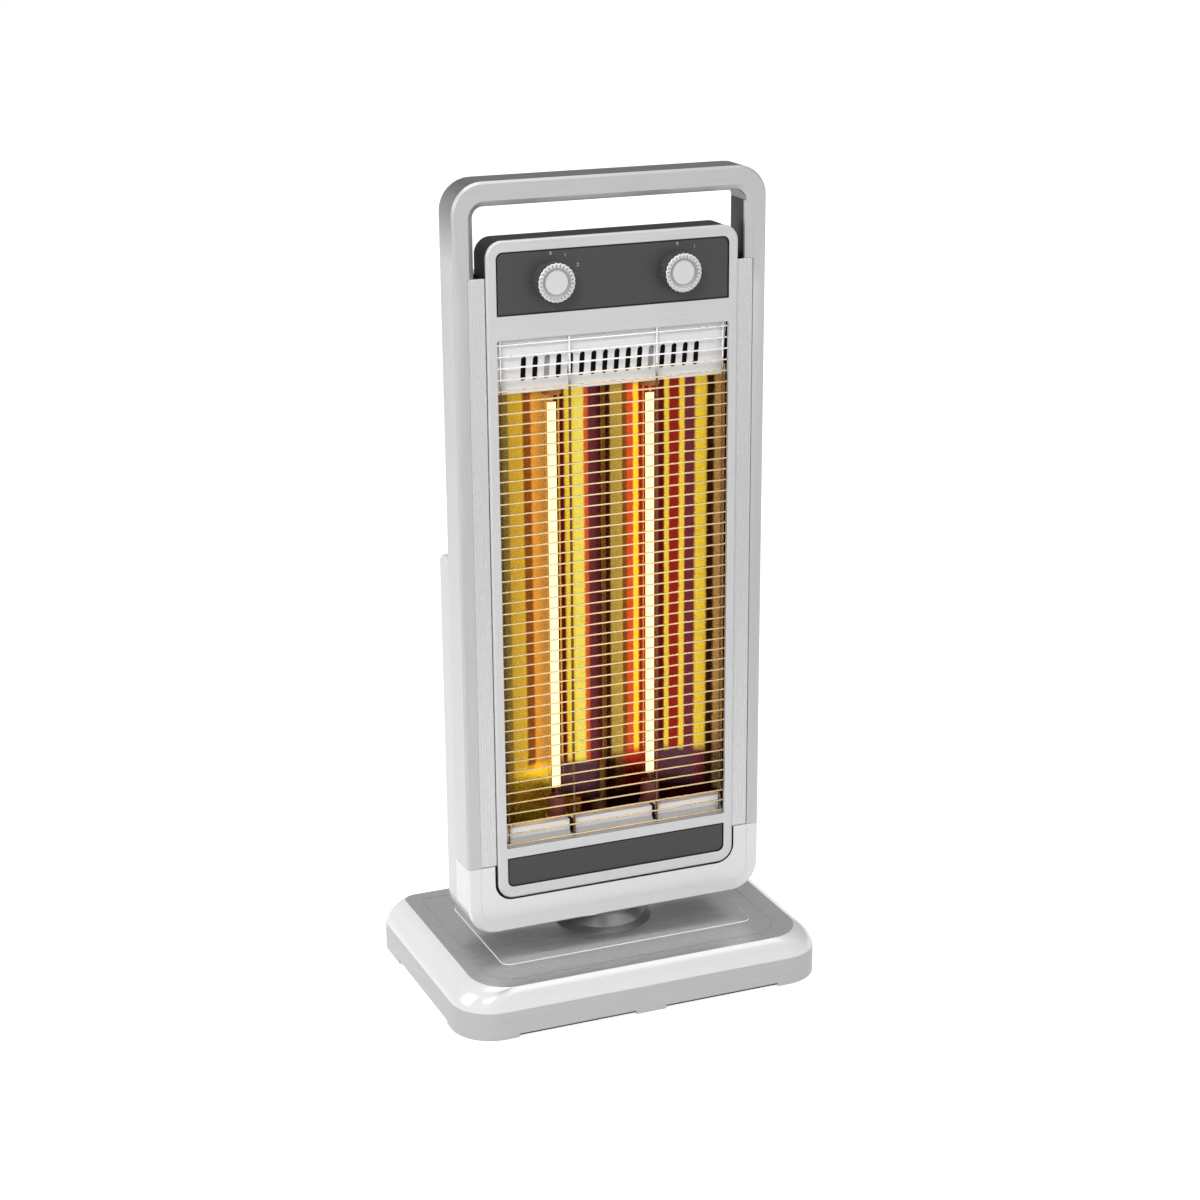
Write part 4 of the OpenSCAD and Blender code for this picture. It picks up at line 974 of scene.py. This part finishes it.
def make_panel(sizes):
    bezel = dressed_copy("bezel", "front_bezel", sizes.edge_round, "bezel_silver")
    # The pockets round the fascia and the badge plate get painted shade
    paint_faces(bezel, "dark_plastic", in_pocket)
    for node, name in PLATES.items():
        plate = rounded_copy(node, name, FINE_ROUND)
        low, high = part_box(node)
        with editing(plate):
            bpy.ops.mesh.select_all(action="SELECT")
            bpy.ops.transform.resize(
                value=(1 - 2 * PLATE_EDGE / (high.x - low.x), 1.0, 1 - 2 * PLATE_EDGE / (high.z - low.z)),
                center_override=(low + high) / 2)
        dress(plate, "fascia_grey", [node])
        # The plates' edges get painted shade, which draws a dark outline
        paint_faces(plate, "dark_plastic", lambda f: f.normal.y > -FACING)
    marks = []
    for place, row in ((POWER_KNOB, POWER_MARKS), (SWING_KNOB, SWING_MARKS)):
        centre = (place[0] + place[1]) / 2
        for word, turn, reach in row:
            angle = math.radians(turn)
            marks.append(mark(word, centre.x + reach * math.sin(angle), centre.z + reach * math.cos(angle)))
    join(marks)
    dress(settle("dial_numbers"), "print_grey", ())


def in_pocket(face):
    """True for the floors and walls of the pockets that hold the fascia and the badge plate."""
    rows = [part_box(node) for node in PLATES]
    return (face.center.y > BEZEL[0].y + POCKET_DEEP and abs(face.center.x) < POCKET_HALF and
            any(low.z - POCKET_EDGE < face.center.z < high.z + POCKET_EDGE for low, high in rows))


def mark(word, x, z):
    """One printed number of a dial, flat on the fascia."""
    clear_selection()
    bpy.ops.object.text_add(location=(x, FASCIA[0].y, z - MARK_HEIGHT / 3),
                            rotation=(QUARTER_TURN, 0.0, 0.0))
    words = bpy.context.object.data
    words.body = word
    words.size = MARK_HEIGHT
    words.extrude = MARK_DEPTH
    words.align_x = "CENTER"
    bpy.ops.object.convert(target="MESH")
    return settle("mark")


# Knobs

RIB_CORNERS = 4
FLUTE = 0.968
FLUTE_ROUND = 0.0002
FACE_RING = 0.0036
FACE_ROUND = 0.0011
DISC_SIDES = 64
DISC_EDGE = 0.0003
DISC_RING = 0.0019
DISC_SINK = 0.0007
DISC_STEP = 0.0008
DISC_RISE = 0.0003
RECESS_EDGE = 0.0012
KNOB_SIDE = 0.3
GROOVE_SLOPE = 0.985
RIM_SHARE = 0.9
DISC_SMOOTH = math.radians(12)
KNOB_SMOOTH = math.radians(40)


def make_knobs(sizes):
    for key, body, place in (("power", "power_dial", POWER_KNOB), ("swing", "swing_dial", SWING_KNOB)):
        disc_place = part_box(key + "_knob_cap")
        knob = fluted_knob(key + "_dial_grip", place, sizes.knob_ribs, disc_place[1].y - place[0].y)
        dress(knob, "knob_silver", [key + "_knob"], body=body)
        paint_faces(knob, "knob_side", lambda f: abs(f.normal.y) < KNOB_SIDE)
        disc = dished_disc(key + "_dial_disc", disc_place)
        dress(disc, "knob_cap_silver", [key + "_knob_cap"], body=body)
        # The disc's sloping ring and the wall of the knob's recess get painted shade
        paint_faces(disc, "knob_groove", lambda f: -GROOVE_SLOPE < f.normal.y < -KNOB_SIDE)
        paint_faces(knob, "knob_groove", lambda f: in_recess(f, place, disc_place))


def round_block(name, low, high, sides):
    """A disc on an axis along Y that fills a node's box."""
    return bar(name, sides, (high.x - low.x) / 2, high.y - low.y, (low + high) / 2, (QUARTER_TURN, 0.0, 0.0))


def dished_disc(name, place):
    """Disc in the knob's face, with a sloping ring round a sunk middle."""
    disc = round_block(name, *place, DISC_SIDES)
    with editing(disc):
        pick("FACE", lambda f: f.normal.y < -FLAT)
        bpy.ops.mesh.inset(thickness=DISC_EDGE)
        bpy.ops.mesh.inset(thickness=DISC_RING, depth=-DISC_SINK)
        bpy.ops.mesh.inset(thickness=DISC_STEP, depth=DISC_RISE)
    smooth(disc, DISC_SMOOTH)
    return disc


def in_recess(face, knob_place, disc_place):
    """True for the wall of the recess in the knob's face."""
    centre = (knob_place[0] + knob_place[1]) / 2
    reach = math.hypot(face.center.x - centre.x, face.center.z - centre.z)
    return reach < (disc_place[1].x - disc_place[0].x) / 2 + RECESS_EDGE and face.normal.y > -FACING


def fluted_knob(name, place, ribs, sink):
    """Knob on an axis along Y, with flutes round its rim and a flat ring round its face."""
    low, high = place
    centre = (low + high) / 2
    radius = (high.x - low.x) / 2
    knob = round_block(name, low, high, RIB_CORNERS * ribs)
    with editing(knob):
        pick("VERT", lambda v: flute_corner(v.co - centre, ribs))
        bpy.ops.transform.resize(value=(FLUTE, 1.0, FLUTE), center_override=centre)
        pick("FACE", lambda f: f.normal.y < -FLAT)
        bpy.ops.mesh.inset(thickness=FACE_RING)
        bpy.ops.mesh.extrude_region_move(TRANSFORM_OT_translate={"value": (0.0, sink, 0.0)})
        pick("EDGE", lambda e: all(abs(v.co.y - low.y) < NEAR and far_out(v.co - centre, radius)
                                   for v in e.verts))
        bpy.ops.mesh.bevel(offset=FACE_ROUND, segments=3, profile=0.6)
        pick("EDGE", lambda e: abs(e.verts[0].co.y - e.verts[1].co.y) > radius / 2)
        bpy.ops.mesh.bevel(offset=FLUTE_ROUND, segments=2)
    smooth(knob, KNOB_SMOOTH)
    return knob


def far_out(place, radius):
    """True for a point near the knob's full radius."""
    return math.hypot(place.x, place.z) > radius * RIM_SHARE


def flute_corner(place, ribs):
    """True for two of every four corners round the rim."""
    turn = math.atan2(place.z, place.x) / (2 * math.pi) * RIB_CORNERS * ribs
    return int(round(turn)) % RIB_CORNERS in (0, 1)


# Lamps

LAMP_X = 0.048
TUBE_RADIUS = 0.007
PIP_START = 0.0003
GLOW_FOOT = 0.1924
GLOW_HEAD = 0.5626
CAP_ROUND = 0.0008


def make_lamps():
    for side in ("left", "right"):
        glass = dressed_copy("lamp_tube_" + side, "quartz_tube_" + side, TRIM_ROUND, "quartz")
        paint_faces(glass, "pip_amber", lambda f: abs(f.center.x) < LAMP_X - TUBE_RADIUS - PIP_START)
        strip = dressed_copy("carbon_strip_" + side, "carbon_ribbon_" + side, FINE_ROUND, "carbon_glow")
        # The ribbon's ends get the ceramic finish, with its painted amber glow at the top
        paint_faces(strip, "ceramic", lambda f: not GLOW_FOOT < f.center.z < GLOW_HEAD)
    dressed_copy("lamp_caps", "ceramic_caps", CAP_ROUND, "ceramic")


# Reflector, vent plate and ledge

MIRROR_SHARP = math.radians(40)
MIRROR_EDGE = 0.001
MIRROR_FOOT = 0.1535
VENT_HEAD = 0.0045
VENT_DROP = 0.0063
SHADE_PLACE = (0.0, -0.0284, 0.6005)
SHADE_SIZE = (0.190, 0.0006, 0.030)
SHADE_LEAN = math.radians(9)
SILL_FRONT = -0.0383
SILL_LIP = -0.0330
SILL_BACK = -0.0240
SILL_FOOT = 0.1515
SILL_STEP = 0.1595
SILL_HEAD = 0.1685
SILL_ROUND = 0.0008
SILL_SLOPE = 0.3
NOTCH_WIDTH = 0.0034
NOTCH_SHIFT = 0.0011
NOTCH_FOOT = 0.1555
NOTCH_OVERRUN = 0.002


def make_reflector(sizes):
    mirror = rounded_copy("reflector", "gold_reflector", TRIM_ROUND, MIRROR_SHARP)
    foot = REFLECTOR[0].z
    with editing(mirror):
        pick("VERT", lambda v: v.co.z < foot + MIRROR_EDGE)
        bpy.ops.transform.translate(value=(0.0, 0.0, MIRROR_FOOT - foot))
    dress(mirror, "reflector_gold", ["reflector"])
    vent = rounded_copy("vent_plate", "slotted_plate", TRIM_ROUND)
    with editing(vent):
        pick("VERT", lambda v: v.co.z < VENT[1].z - VENT_HEAD)
        bpy.ops.transform.translate(value=(0.0, VENT_DROP * math.tan(SHADE_LEAN), -VENT_DROP))
    dress(vent, "vent_white", ["vent_plate"])
    # A dark plate behind the slots stands in for the shade inside them
    clear_selection()
    bpy.ops.mesh.primitive_cube_add(size=1.0, location=SHADE_PLACE, scale=SHADE_SIZE,
                                    rotation=(SHADE_LEAN, 0.0, 0.0))
    shade = settle("slot_shade")
    add_modifier(shade, "BEVEL", width=FINE_ROUND, segments=1)
    dress(shade, "slot_shade", ())
    make_sill(sizes.rod_spacing / 2)


def make_sill(rod_place):
    """Folded sill under the reflector: a lip, a sloping front and a notch for each upright rod."""
    half = LEDGE[1].x
    sill = box("lower_sill", (-half, SILL_FRONT, SILL_FOOT), (half, SILL_BACK, SILL_HEAD))
    with editing(sill):
        bpy.ops.mesh.select_all(action="SELECT")
        bpy.ops.mesh.bisect(plane_co=(0.0, 0.0, SILL_STEP), plane_no=(0.0, 0.0, 1.0))
        pick("VERT", lambda v: v.co.y < SILL_FRONT + NEAR and v.co.z > SILL_STEP - NEAR)
        bpy.ops.transform.translate(value=(0.0, SILL_LIP - SILL_FRONT, 0.0))
        pick("EDGE", lambda e: middle(e).y < SILL_LIP + NEAR and
             abs(e.verts[0].co.x - e.verts[1].co.x) > half)
        bpy.ops.mesh.bevel(offset=SILL_ROUND, segments=3)
    for side in (-1, 1):
        place = side * rod_place - NOTCH_SHIFT
        cut(box("notch", (place - NOTCH_WIDTH / 2, SILL_FRONT - NOTCH_OVERRUN, NOTCH_FOOT),
                (place + NOTCH_WIDTH / 2, SILL_BACK - NOTCH_OVERRUN, SILL_HEAD + NOTCH_OVERRUN)), sill)
    smooth(sill)
    dress(sill, "ledge_grey", ["lower_ledge"])
    # The sloping front under the lip gets painted shade
    paint_faces(sill, "sill_grey", lambda f: f.normal.y < -SILL_SLOPE and f.center.z < SILL_STEP)
    # The notches for the rods get painted shade
    paint_faces(sill, "dark_plastic",
                lambda f: abs(abs(f.center.x + NOTCH_SHIFT) - rod_place) < NOTCH_WIDTH / 2 + SEAM)


# Guard

WIRE_END = 0.0003
ROD_SINK = 0.0003
WIRE_SIDES = 8
ROD_SIDES = 12
EDGE_UPRIGHT_IN = 0.0035


def make_guard(sizes):
    half = GUARD[1].x
    front = GUARD[0].y + sizes.wire_radius
    wires = bar("guard_wires", WIRE_SIDES, sizes.wire_radius, 2 * half, (0.0, front, sizes.wire_first),
                (0.0, QUARTER_TURN, 0.0))
    round_ends(wires, lambda place: abs(place.x) > half - NEAR)
    add_modifier(wires, "ARRAY", count=sizes.wire_count, use_relative_offset=False,
                 use_constant_offset=True, constant_offset_displace=(0.0, 0.0, sizes.wire_pitch))
    smooth(wires)
    # The wires in front of the lamps get painted glow light
    dress(wires, "guard_chrome", ["wire_guard"])
    low, high = GUARD[0].z, GUARD[1].z
    back = front + sizes.wire_radius + sizes.rod_radius - ROD_SINK
    uprights = []
    for reach, radius in ((sizes.rod_spacing / 2, sizes.rod_radius),
                          (half - EDGE_UPRIGHT_IN, sizes.wire_radius)):
        for x in (-reach, reach):
            uprights.append(bar("upright", ROD_SIDES, radius, high - low, (x, back, (low + high) / 2)))
            round_ends(uprights[-1], lambda place: not low + NEAR < place.z < high - NEAR)
    join(uprights)
    rods = settle("guard_uprights")
    smooth(rods)
    # The uprights' lower part gets painted shade
    dress(rods, "upright_chrome", ())


def round_ends(wire, at_end):
    """Rounds the rims at the ends of a wire."""
    with editing(wire):
        pick("EDGE", lambda e: at_end(middle(e)))
        bpy.ops.mesh.bevel(offset=WIRE_END, segments=2)


# Rear covers

def make_rear(sizes):
    dressed_copy("control_housing", "control_box", sizes.edge_round, "box_graphite")
    dressed_copy("rear_cover", "upper_rear_shell", sizes.edge_round, "housing_silver")
    dressed_copy("rear_housing", "lower_rear_shell", sizes.edge_round, "housing_silver")
    dressed_copy("cover_screws", "rear_screws", TRIM_ROUND, "screw_black")


# Pieces that stay as they are and get a finish

KEPT = {
    "slide_plastic": ("bearing_ring", "motor_crank", "tip_plunger", "terminal_block"),
    "zinc_sheet": ("swivel_motor", "swing_arm", "chassis_brackets", "lamp_clips", "thermal_cutout"),
    "screw_steel": ("base_screws", "motor_screws", "arm_screws", "turntable_screws", "power_shaft",
                    "swing_shaft"),
    "dark_plastic": ("base_plate", "tip_switch"),
    "switch_plastic": ("power_switch", "swing_switch"),
    "ballast_steel": ("base_ballast",),
    "chassis_sheet": ("chassis",),
}


def finish_kept():
    for finish, nodes in KEPT.items():
        for node in nodes:
            mesh = frame["nodes"][node].data
            mesh.materials.clear()
            mesh.materials.append(MADE[finish])


# Stage

FLOOR_SIZE = 14.0
FLOOR_GLOW = 0.75
FLOOR_SHEEN = 0.36
DIM_PATCH = (1.0, -1.6, 0.0)
DIM_REACH = (0.2, 1.2)
OBJECT_MIDDLE = (0.0, 0.0, 0.36)
FLAG_PLACE = (-0.60, -1.70, 2.50)
FLAG_SIZE = (0.30, 0.9, 1.0)
FLAG_BLACK = (0.01, 0.01, 0.01)
FLAG_ROUGH = 0.9
# Area lamps: name, place, size and power
LIGHTS = (
    ("fill light", (1.2, -3.0, 2.2), 2.4, 14.0),
    ("top light", (-0.3, -0.1, 3.0), 2.2, 16.0),
    ("side light", (-2.9, 0.5, 1.6), 1.8, 12.0),
)
KEY_PLACE = (-2.3, -2.4, 2.3)
KEY_AIM = (-0.36, 0.0, 0.62)
KEY_POWER = 640.0
KEY_SIZE = 0.7
KEY_CONE = math.radians(21)
SENSOR_WIDTH = 36.0
VIEW_END = 100.0
DARK_SIDE = (0.72, 0.66, 0.2)
DARK_EDGE = (0.45, 0.95)
DARK_SHARE = 0.1
WORLD_LIGHT = 0.45


def facing(place, target):
    """Turn of a lamp, flag or camera that stands at one place and looks at another."""
    return (Vector(place) - Vector(target)).to_track_quat("Z", "Y").to_euler()


def add_light(kind, name, place, target, **settings):
    """Adds a lamp that stands at one place and shines at another."""
    bpy.ops.object.light_add(type=kind, location=place)
    lamp = bpy.context.object
    lamp.name = name
    lamp.rotation_euler = facing(place, target)
    for key, value in settings.items():
        setattr(lamp.data, key, value)


def make_stage(stage):
    clear_selection()
    bpy.ops.mesh.primitive_plane_add(size=FLOOR_SIZE)
    floor = settle("floor")
    floor.data.materials.append(new_finish("pale floor", pale_floor, stage.floor_white))
    clear_selection()
    bpy.ops.mesh.primitive_plane_add(size=1.0, location=FLAG_PLACE, scale=FLAG_SIZE,
                                     rotation=facing(FLAG_PLACE, OBJECT_MIDDLE))
    flag = settle("black_flag")
    flag.data.materials.append(new_finish("flag cloth", moulded, FLAG_BLACK, FLAG_ROUGH))
    for name, place, size, power in LIGHTS:
        add_light("AREA", name, place, OBJECT_MIDDLE, shape="SQUARE", size=size, energy=power)
    add_light("SPOT", "key light", KEY_PLACE, KEY_AIM, energy=KEY_POWER, shadow_soft_size=KEY_SIZE,
              spot_size=KEY_CONE, spot_blend=1.0)
    make_world()
    bpy.ops.object.camera_add(location=stage.camera_place)
    camera = bpy.context.object
    camera.name = "camera"
    camera.rotation_euler = facing(stage.camera_place, stage.camera_target)
    camera.data.lens = stage.lens
    camera.data.sensor_width = SENSOR_WIDTH
    camera.data.shift_x = stage.shift_x
    camera.data.shift_y = stage.shift_y
    camera.data.clip_end = VIEW_END
    bpy.context.scene.camera = camera
    bpy.context.scene.view_settings.view_transform = "Standard"


def pale_floor(tree, white):
    """Matt pale floor that looks white to the camera and keeps its shadow."""
    rays = add_node(tree, "LightPath")
    place = add_node(tree, "TexCoord")["Object"]
    away = add_node(tree, "VectorMath", {0: place, 1: DIM_PATCH}, operation="DISTANCE")["Value"]
    sheen = calculate(tree, "MULTIPLY", spread(tree, away, 0.0, FLOOR_SHEEN, *DIM_REACH),
                      rays["Is Glossy Ray"])
    seen = calculate(tree, "MULTIPLY", rays["Is Camera Ray"], FLOOR_GLOW)
    return {
        "Base Color": tint(tree, noise(tree, scale=30.0), (white, white, white), dark=0.995, light=1.0),
        "Roughness": 0.7, "Specular IOR Level": 0.2, "Emission Color": WHITE,
        "Emission Strength": calculate(tree, "ADD", seen, sheen)}


def make_world():
    """White background, and a softer grey light all round."""
    world = bpy.data.worlds.new("studio")
    bpy.context.scene.world = world
    world.use_nodes = True
    tree = world.node_tree
    rays = add_node(tree, "LightPath")
    way = add_node(tree, "TexCoord")["Generated"]
    turned = add_node(tree, "VectorMath", {0: way, 1: DARK_SIDE}, operation="DOT_PRODUCT")["Value"]
    mirrored = calculate(tree, "MULTIPLY", spread(tree, turned, 1.0, DARK_SHARE, *DARK_EDGE),
                         rays["Is Glossy Ray"])
    seen = calculate(tree, "MAXIMUM", rays["Is Camera Ray"], mirrored)
    seen = calculate(tree, "MAXIMUM", seen, rays["Is Transmission Ray"])
    feed(tree, tree.nodes["Background"], {
        "Color": WHITE, "Strength": spread(tree, seen, WORLD_LIGHT, 1.0, start=0.0, end=1.0)})


# Operators

class HEATER_OT_finishes(bpy.types.Operator):
    """Makes the heater's finishes"""

    bl_idname = "heater.finishes"
    bl_label = "Finishes"

    def execute(self, context):
        MADE.update(finishes(context.scene.heater_colours))
        finish_kept()
        return {"FINISHED"}


class HEATER_OT_base(bpy.types.Operator):
    """Makes the base cover, the turntable disc, the rubber pads and the cord inlet"""

    bl_idname = "heater.base"
    bl_label = "Base"

    def execute(self, context):
        make_base()
        return {"FINISHED"}


class HEATER_OT_body(bpy.types.Operator):
    """Makes the handle loop, its grip, the lower cover and the column strips"""

    bl_idname = "heater.body"
    bl_label = "Body"

    def execute(self, context):
        make_body(context.scene.heater_sizes)
        return {"FINISHED"}


class HEATER_OT_panel(bpy.types.Operator):
    """Makes the bezel, the fascia, the bare badge plate and the dial numbers"""

    bl_idname = "heater.panel"
    bl_label = "Panel"

    def execute(self, context):
        make_panel(context.scene.heater_sizes)
        return {"FINISHED"}


class HEATER_OT_knobs(bpy.types.Operator):
    """Makes the two ribbed knobs and their discs"""

    bl_idname = "heater.knobs"
    bl_label = "Knobs"

    def execute(self, context):
        make_knobs(context.scene.heater_sizes)
        return {"FINISHED"}


class HEATER_OT_lamps(bpy.types.Operator):
    """Makes the quartz tubes, the glowing ribbons and the ceramic caps"""

    bl_idname = "heater.lamps"
    bl_label = "Lamps"

    def execute(self, context):
        make_lamps()
        return {"FINISHED"}


class HEATER_OT_reflector(bpy.types.Operator):
    """Makes the gold reflector, the slotted plate and the sill"""

    bl_idname = "heater.reflector"
    bl_label = "Reflector"

    def execute(self, context):
        make_reflector(context.scene.heater_sizes)
        return {"FINISHED"}


class HEATER_OT_guard(bpy.types.Operator):
    """Makes the guard's wires and uprights"""

    bl_idname = "heater.guard"
    bl_label = "Guard"

    def execute(self, context):
        make_guard(context.scene.heater_sizes)
        return {"FINISHED"}


class HEATER_OT_rear(bpy.types.Operator):
    """Makes the control box, the two rear covers and their screws"""

    bl_idname = "heater.rear"
    bl_label = "Rear covers"

    def execute(self, context):
        make_rear(context.scene.heater_sizes)
        return {"FINISHED"}


class HEATER_OT_stage(bpy.types.Operator):
    """Makes the floor, the lights and the camera"""

    bl_idname = "heater.stage"
    bl_label = "Stage"

    def execute(self, context):
        make_stage(context.scene.heater_stage)
        return {"FINISHED"}


OPERATORS = (HEATER_OT_finishes, HEATER_OT_base, HEATER_OT_body, HEATER_OT_panel, HEATER_OT_knobs,
             HEATER_OT_lamps, HEATER_OT_reflector, HEATER_OT_guard, HEATER_OT_rear, HEATER_OT_stage)


class HEATER_PT_pieces(bpy.types.Panel):
    """Lists the heater's pieces and their sizes"""

    bl_label = "Heater"
    bl_idname = "HEATER_PT_pieces"
    bl_space_type = "VIEW_3D"
    bl_region_type = "UI"
    bl_category = "Heater"

    def draw(self, context):
        for kind in OPERATORS:
            self.layout.operator(kind.bl_idname)
        for group in (context.scene.heater_sizes, context.scene.heater_colours, context.scene.heater_stage):
            for key in group.bl_rna.properties.keys():
                if key not in ("rna_type", "name"):
                    self.layout.prop(group, key)


CLASSES = (HeaterSizes, HeaterColours, HeaterStage) + OPERATORS + (HEATER_PT_pieces,)


def register():
    for kind in CLASSES:
        bpy.utils.register_class(kind)
    bpy.types.Scene.heater_sizes = bpy.props.PointerProperty(type=HeaterSizes)
    bpy.types.Scene.heater_colours = bpy.props.PointerProperty(type=HeaterColours)
    bpy.types.Scene.heater_stage = bpy.props.PointerProperty(type=HeaterStage)


def unregister():
    del bpy.types.Scene.heater_stage
    del bpy.types.Scene.heater_colours
    del bpy.types.Scene.heater_sizes
    for kind in reversed(CLASSES):
        bpy.utils.unregister_class(kind)


def main():
    register()
    bpy.ops.heater.finishes()
    bpy.ops.heater.base()
    bpy.ops.heater.body()
    bpy.ops.heater.panel()
    bpy.ops.heater.knobs()
    bpy.ops.heater.lamps()
    bpy.ops.heater.reflector()
    bpy.ops.heater.guard()
    bpy.ops.heater.rear()
    bpy.ops.heater.stage()
    clear_selection()


if __name__ == "__main__":
    main()
